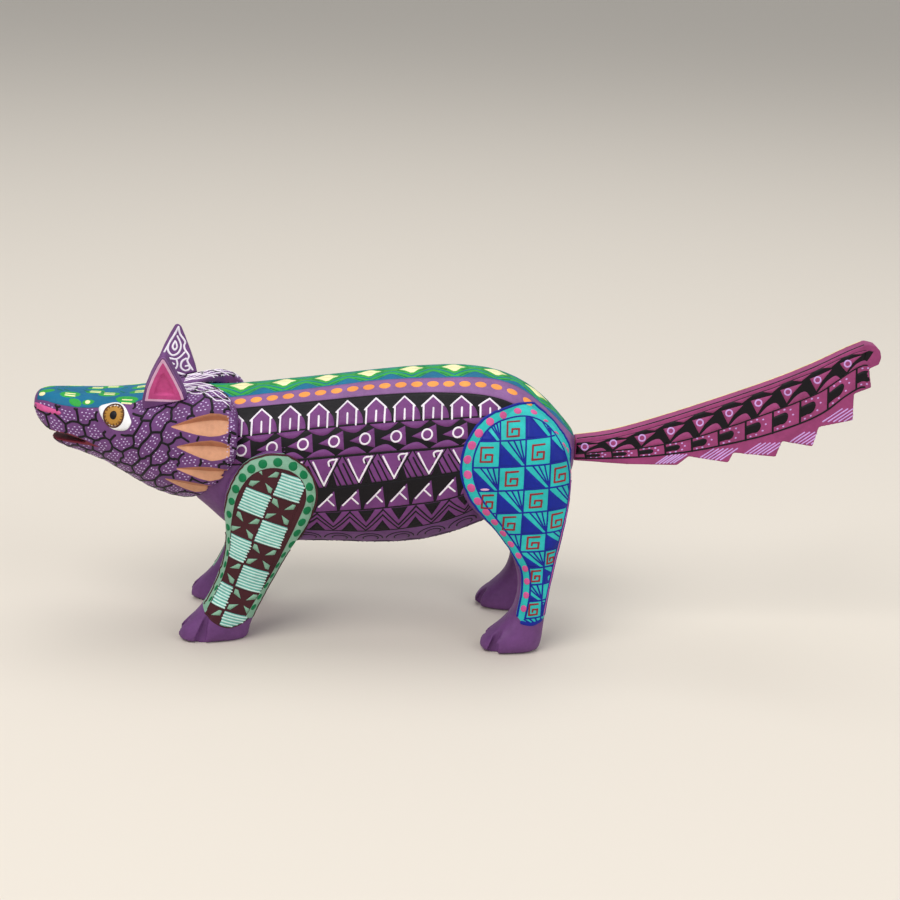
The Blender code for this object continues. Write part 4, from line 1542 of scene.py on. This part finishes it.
def paint_snout():
    """Blue and green strip on top of the muzzle, with cream dashes in pairs."""
    sea, green, cream, forest, pink = brushes("head", "sea", "green", "cream", "forest", "pink")
    axis = smooth_function(HEAD_AXIS)
    edge = smooth_function(STRIP_EDGE)
    for side in (-1, 1):
        chart = round_chart(skins["head"], axis, side)
        xs = [-148.6 + i * 2.0 for i in range(22)] + [STRIP_END]
        ground = [(xs[0], 0.0), (STRIP_END, 0.0)] + [(x, edge(x)) for x in xs[::-1]]
        sea.fill(chart, ground)
        for x, angle, long, turn in (
            (-145.6, 22, 5.0, 20),
            (-137.0, 30, 6.6, 0),
            (-134.6, 48, 4.6, -20),
            (-130.0, 46, 3.8, 10),
            (-128.6, 12, 6.0, 15),
            (-123.4, 22, 6.8, 5),
            (-116.4, 38, 7.6, -10),
            (-113.0, 12, 6.4, 20),
            (-107.6, 22, 4.0, 0),
        ):
            green.dab(chart, (x, angle), long * 1.25, long * 0.7, turn, 0.1)
        for x, angle in ((-136.8, 31), (-128.4, 13), (-123.2, 21), (-116.2, 42), (-112.6, 13)):
            for rise in (-3.0, 3.0):
                mark = [(x - 1.7, angle + rise), (x + 1.5, angle + rise + 0.8)]
                cream.stroke(chart, mark, 0.8, 0.2)
        cream.dab(chart, (-130.2, 46), 2.0, 1.8, 0.0, 0.22)
        cream.dab(chart, (-147.0, 40), 2.6, 2.2, 0.0, 0.22)
        for x in (-142.0, -139.6, -132.4, -126.8, -119.8, -110.4):
            mark = [(x, 8.0), (x + 1.6, 15.0)]
            forest.stroke(chart, mark, 0.7, 0.14)
        lips = side_chart(skins["head"], side)
        pink.fill(lips, curve(LIP, closed=True), 0.1)


def paint_ruff():
    """White waves over the ruff's shoulders, and a dotted pale rim round its rear edge."""
    axis = smooth_function(HEAD_AXIS)
    for side in (-1, 1):
        chart = round_chart(skins["head"], axis, side)
        hand = random.Random(side + 7)
        for k in range(6):
            start, sweep = 6.0 + 5.6 * k, 21.0
            wave = []
            for i in range(9):
                x = -97.6 + 2.2 * i
                ripple = 2.2 * math.sin(i * 1.9 + k * 1.9)
                wave.append((x, start + sweep * (i / 8) ** 1.3 + ripple))
            coat("head", "white").stroke(chart, curve(wave), 0.6, 0.18)
        for angle in range(30, 150, 3):
            for row, x in enumerate((-77.9, -78.8, -79.8)):
                spot = (x + hand.uniform(-0.2, 0.2), angle + 1.5 * (row % 2) + hand.uniform(-0.6, 0.6))
                coat("head", "lilac_white").speck(chart, spot, 0.8, 0.5)


# ---------------------------------------------------------------- the ears

# The middle of an ear's foot, how far the ear leans out in degrees, and its outline from its foot.
EAR_FOOT = (-102.4, 16.8, 87.0)
EAR_LEAN = 20.0
EAR_SHAPE = [
    (-7.8, -1.0), (-6.6, 5.0), (-4.6, 10.4), (-2.4, 15.2), (-0.9, 17.9), (0.1, 18.5), (1.2, 17.6),
    (2.6, 14.6), (4.8, 9.4), (6.8, 4.2), (8.0, -1.0),
]
# White curls on the back of an ear, in the ear's plane.
EAR_CURLS = [
    [(-6.2, 1.2), (-5.2, 5.4), (-3.4, 9.6), (-1.2, 13.6), (0.4, 17.0)],
    [(6.2, 1.6), (4.6, 3.8), (4.2, 5.0), (4.6, 6.6), (3.2, 8.8), (2.8, 10.2), (3.0, 11.8)]
    + [(1.2, 14.4), (0.6, 16.6)],
    [(-0.4, 14.8), (-2.4, 11.6), (-3.0, 8.6), (-1.4, 6.6), (0.8, 7.6), (1.6, 10.4), (0.2, 13.6)],
    [(-0.6, 11.8), (-1.4, 9.8), (-0.6, 8.6), (0.2, 9.6), (-0.2, 11.4)],
    [(-4.4, 4.8), (-2.4, 5.4), (0.0, 5.2), (1.6, 6.2), (3.0, 7.8)],
    [(0.2, 5.2), (0.6, 3.2), (-0.2, 1.6), (-2.0, 1.2), (-3.0, 2.6), (-2.0, 3.8), (-0.6, 3.4)],
    [(3.6, 5.6), (2.2, 4.4), (2.0, 2.4), (3.4, 1.2), (5.0, 1.8), (4.8, 3.0), (3.6, 2.8)],
    [(-5.6, 0.4), (-3.0, -0.2), (0.2, 0.4), (3.4, -0.2), (6.4, 0.6)],
]


def ear_frame(side):
    """The ear's foot and its along, out and up directions."""
    lean = math.radians(EAR_LEAN)
    x, out, z = EAR_FOOT
    up = Vector((0.0, side * math.sin(lean), math.cos(lean)))
    outward = Vector((0.0, side * math.cos(lean), -math.sin(lean)))
    return Vector((x, side * out, z)), Vector((1.0, 0.0, 0.0)), outward, up


def ear_chart(skin, side, face):
    """A chart of an ear's outer face (1) or its back (-1), in the ear's plane."""
    foot, along, outward, up = ear_frame(side)

    def chart(u, v):
        start = foot + along * u + up * v + outward * face * 20.0
        return skin.hit(start, -outward * face)

    return chart


def paint_ears():
    for word, side in SIDES:
        name = word + "_ear"
        back = ear_chart(skins[name], side, -1)
        for curl in EAR_CURLS:
            coat(name, "white").stroke(back, curve(curl), 0.75, 0.16)
        front = ear_chart(skins[name], side, 1)
        outline = [(u * 0.92, 0.4 + v * 0.95) for u, v in EAR_SHAPE[1:-1]]
        coat(name, "heather").stroke(front, curve(outline), 0.5, 0.12)


# ---------------------------------------------------------------- the tail

# Lines along the tail as x and z: its top, and the lower edges of its dark band and its blocks.
TAIL_TOP = [(42.6, 73.8), (56, 76.2), (72, 81.4), (92, 88.9)]
TAIL_TOP += [(112, 96.9), (126, 103.4), (138, 109.9), (146, 112.4)]
TAIL_DARK = [(42.6, 68.2), (53, 69.4), (68.6, 71.6), (84, 75.4)]
TAIL_DARK += [(99, 80.9), (114, 87.2), (129, 94.4), (144, 105.0)]
TAIL_BLOCKS = [(42.6, 66.6), (53, 66.9), (68.6, 68.2), (84, 70.6)]
TAIL_BLOCKS += [(99.6, 74.4), (115, 79.2), (130, 86.2), (144, 97.0)]
# The plain rim above the dark band, and the depth that each band's motifs are drawn for.
TAIL_RIM = 1.5
TAIL_DEPTH = 6.4
# Where the hatching on each tooth starts, and how long its lines are.
TEETH = [
    (72.4, 65.6, 5.4), (87.0, 67.4, 7.2), (103.8, 70.2, 7.2), (119.0, 74.6, 7.6),
    (131.4, 83.6, 8.0), (142.0, 96.2, 3.6),
]


def top_chart(skin):
    """A chart of what shows from above: x and y."""

    def chart(x, y):
        return skin.hit((x, y, OUTSIDE * 2), (0.0, 0.0, -1.0))

    return chart


def paint_stars(chart, stars, rim, dark):
    """Dark stars between magenta hills and notches, with a ring over each."""
    ink, magenta, lilac = brushes("tail", "ink", "magenta", "lilac")
    ink.fill(stars, strip(43.2, 144.0, 0.0, TAIL_DEPTH))
    for x in steps(46.0, 142.0, 10.2):
        star = [(x - 2.6, 1.5), (x + 5.0, 1.9), (x + 2.0, 3.6), (x + 0.2, 5.6), (x - 1.2, 3.6)]
        magenta.fill(stars, star, SHAPE)
        hill = [(x + 0.4, TAIL_DEPTH), (x + 3.4, 4.6), (x + 6.4, 4.4), (x + 8.4, TAIL_DEPTH)]
        magenta.fill(stars, curve(hill), SHAPE)
        magenta.fill(stars, [(x + 1.4, 0.2), (x + 8.0, 0.2), (x + 4.6, 1.3)], SHAPE)
        ring_z = rim(x) + (dark(x) - rim(x)) * 2.7 / TAIL_DEPTH
        ring = arc(x + 0.2, ring_z, 1.15, 1.15, 0.0, 360.0, 20)[:-1]
        lilac.stroke(chart, ring, 0.7, 0.22, closed=True)
    ink.stroke(stars, [(43.4, TAIL_DEPTH), (145.0, TAIL_DEPTH)], 0.6, 0.16)


def paint_blocks(blocks):
    """Blocks with a dark tongue in each, and specks round it."""
    ink, lilac = brushes("tail", "ink", "lilac")
    specks = ((2.0, 0.8), (4.0, 0.8), (6.2, 1.4), (7.3, 3.1), (6.4, 4.8), (4.2, 5.5), (2.2, 5.6))
    ink.stroke(blocks, [(43.4, TAIL_DEPTH), (145.0, TAIL_DEPTH)], 0.7, 0.16)
    for x in steps(46.5, 142.0, 9.5):
        ink.stroke(blocks, [(x, 0.0), (x + 0.6, TAIL_DEPTH)], 0.8, 0.15)
        tongue = [(x, 1.8), (x + 3.0, 1.6)] + arc(x + 4.0, 3.2, 1.6, 1.6, 270.0, 450.0, 8)
        ink.fill(blocks, tongue + [(x + 3.0, 4.6), (x + 0.4, 4.8)], 0.1)
        for dx, y in specks:
            lilac.speck(blocks, (x + dx, y), 1.05, 0.85)


def paint_teeth(chart, low):
    """Slanting lilac lines on each tooth of the lower edge."""

    def on_teeth(x, z):
        return z < low(x) - 0.4

    for x, z, long in TEETH:
        for k in range(6):
            start = (x + 0.24 * long * k, z + 0.1 * k)
            end = (start[0] + long * 0.8, start[1] + long * 0.62)
            coat("tail", "lilac").stroke(chart, [start, end], 0.55, 0.14, within=on_teeth)


def paint_tail():
    rim = smooth_function([(x, z - TAIL_RIM) for x, z in TAIL_TOP])
    dark, low = smooth_function(TAIL_DARK), smooth_function(TAIL_BLOCKS)
    for side in (-1, 1):
        chart = side_chart(skins["tail"], side)
        paint_stars(chart, band_chart(chart, rim, dark, TAIL_DEPTH), rim, dark)
        paint_blocks(band_chart(chart, dark, low, TAIL_DEPTH))
        paint_teeth(chart, low)
        tip = [(143.8, rim(143.8)), (146.8, rim(146.8) - 0.8)]
        tip += [(145.4, rim(145.4) - 3.4), (143.8, dark(143.8))]
        coat("tail", "ink").fill(chart, tip)
        edge = [(x, side * 2.7) for x in (43.4, 80.0, 120.0, 143.0)]
        coat("tail", "ink" if side < 0 else "straw").stroke(top_chart(skins["tail"]), edge, 0.6, 0.14)


# ---------------------------------------------------------------- the whole figure

# How finely each kind of carving is remade and how many rounds of smoothing it gets.
CARVINGS = {"head": (0.45, 14), "leg": (0.5, 40), "ear": (0.3, 12), "tail": (0.4, 12)}
NODES = ["head"]
NODES += [f"{word}_{kind}_leg" for kind in ("front", "hind") for word, _ in SIDES]
NODES += [word + "_ear" for word, _ in SIDES] + ["tail"]
GROUNDS = {"tail": "magenta"}
SLOT_OF = {n: n.removeprefix("left_").removeprefix("right_") + "_paint" for n in NODES}
SLOT_OF["torso"] = "body_paint"
BODY_OF = {n: b for b, ns in frame["record"]["behaviour"]["bodies"].items() for n in ns}

skins = {}


def inside_by(outline, us, vs):
    """How far inside a closed outline each point lies, below zero outside it."""
    nearest = np.full(len(us), np.inf)
    odd = np.zeros(len(us), bool)
    for (au, av), (bu, bv) in zip(outline, outline[1:] + outline[:1]):
        du, dv = bu - au, bv - av
        share = np.clip(((us - au) * du + (vs - av) * dv) / (du * du + dv * dv + 1e-12), 0.0, 1.0)
        gap = np.hypot(us - au - share * du, vs - av - share * dv)
        nearest = np.minimum(nearest, gap)
        if dv:
            crossing = ((av > vs) != (bv > vs)) & (us < au + du * (vs - av) / dv)
            odd ^= crossing
    return np.where(odd, nearest, -nearest)


def leg_zones(plan, side, places, normals):
    """The border's and the field's colours, on the outer side only."""
    facing = normals[:, 1] * side
    border = inside_by(plan["limit"], places[:, 0], places[:, 2])
    field = inside_by(plan["field"], places[:, 0], places[:, 2])
    return np.minimum(border, (facing + 0.2) * 4.0), np.minimum(field, (facing + 0.05) * 4.0)


def torso_zones(places, normals):
    """The legs' colours where their paint runs on over the torso."""
    made = {}
    for kind in ("front", "hind"):
        both = [leg_zones(plans[f"{word}_{kind}_leg"], side, places, normals) for word, side in SIDES]
        on_flank = np.abs(places[:, 1]) - FLANK_OUT
        made[kind + "_border"], made[kind + "_field"] = np.minimum(np.maximum(*both), on_flank)
    return made


def head_zones(places):
    """The gouges' bare colour, a darker peach painted as shade on their upper walls, and the red inside of
    the mouth.
    """
    x, y, z = places.T
    leaves = np.max([inside_by(gouge_outline(g), x, z) for g in GOUGES], axis=0)
    shaded_uppers = np.max([inside_by(gouge_shaded_upper(g), x, z) for g in GOUGES], axis=0)
    return {
        "gouge": np.minimum(leaves, np.abs(y) - 9.0),
        # The upper wall of each gouge gets a darker peach: painted shade.
        "shaded_crease": np.minimum(shaded_uppers, np.abs(y) - 9.0),
        "mouth": inside_by(MOUTH_RED, x, z),
    }


def ear_zones(side, places):
    """The pink inside of an ear and the paler line round it."""
    foot, along, outward, up = (np.array(v) for v in ear_frame(side))
    from_foot = places - foot
    u, v, w = from_foot @ along, from_foot @ up, from_foot @ outward
    within = inside_by(EAR_SHAPE, u, v)
    return {
        "lining": np.minimum(within - 0.8, w * 2.0),
        "inner": np.minimum(within - 1.7, w * 2.0),
    }


def tail_zones(places, normals):
    """Straw paint wherever the tail is thin and doesn't look up, which takes in its tenon."""
    flat = 2.7 - np.abs(places[:, 1])
    return {"edge": np.minimum(flat, 0.3 - normals[:, 2])}


LEG_COLOURS = {"front": ("mint", "maroon"), "hind": ("turquoise", "turquoise")}
ZONE_COLOURS = {
    # The darker peach on the gouges' upper walls is painted shade.
    "head": (("gouge", "peach"), ("shaded_crease", "shaded_peach"), ("mouth", "wine")),
    "ear": (("lining", "blush"), ("inner", "rose")),
    "tail": (("edge", "straw"),),
}


def zones_of(node, side, mesh):
    """The values that bound the painted zones of a carving, and the colour of each zone."""
    places = np.array([v.co for v in mesh.vertices]) / MM
    normals = np.array([v.normal for v in mesh.vertices])
    if node == "torso":
        values = torso_zones(places, normals)
        return values, [(zone, LEG_COLOURS[zone.split("_")[0]][zone.endswith("field")]) for zone in values]
    if node.endswith("leg"):
        border, field = leg_zones(plans[node], side, places, normals)
        colours = LEG_COLOURS["front" if "front" in node else "hind"]
        return {"border": border, "field": field}, tuple(zip(("border", "field"), colours))
    if node.endswith("ear"):
        return ear_zones(side, places), ZONE_COLOURS["ear"]
    if node == "head":
        return head_zones(places), ZONE_COLOURS["head"]
    return tail_zones(places, normals), ZONE_COLOURS["tail"]


def carve(node, obj):
    """Let a finished carving stand for its CAD node."""
    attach(obj, BODY_OF[node])
    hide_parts(node)
    skins[node] = Skin(obj)
    return obj


def colour_in(node, obj):
    """Store a carving's zones in its mesh and give it the material that reads them."""
    values, colours = zones_of(node, -1 if node.startswith("left") else 1, obj.data)
    for zone, numbers in values.items():
        stored = obj.data.attributes.new(zone, "FLOAT", "POINT")
        stored.data.foreach_set("value", numbers.astype(np.float32))
    obj.data.materials.clear()
    obj.data.materials.append(zoned_paint(node, GROUNDS.get(node, "purple"), colours))


make_camera()
make_studio()
carved = {"torso": carve("torso", trunk_copy("torso", 0.8, 128, 30))}
for name in NODES:
    carved[name] = carve(name, smooth_copy(name, *CARVINGS[name.split("_")[-1]]))
plans = {}
for word, way in SIDES:
    for leg in (word + "_front_leg", word + "_hind_leg"):
        plans[leg] = leg_plan(leg, way)
        leg_limits[way].append(plans[leg]["rim"])
for name, obj in carved.items():
    colour_in(name, obj)
wood = bare_wood()
for name, obj in frame["nodes"].items():
    if name.endswith("dowel"):
        for place in obj.material_slots:
            place.material = wood

paint_torso()
paint_legs()
for way in (-1, 1):
    paint_eye(way)
    paint_scales(way)
paint_snout()
paint_ruff()
paint_ears()
paint_tail()
for made in coats.values():
    made.build()
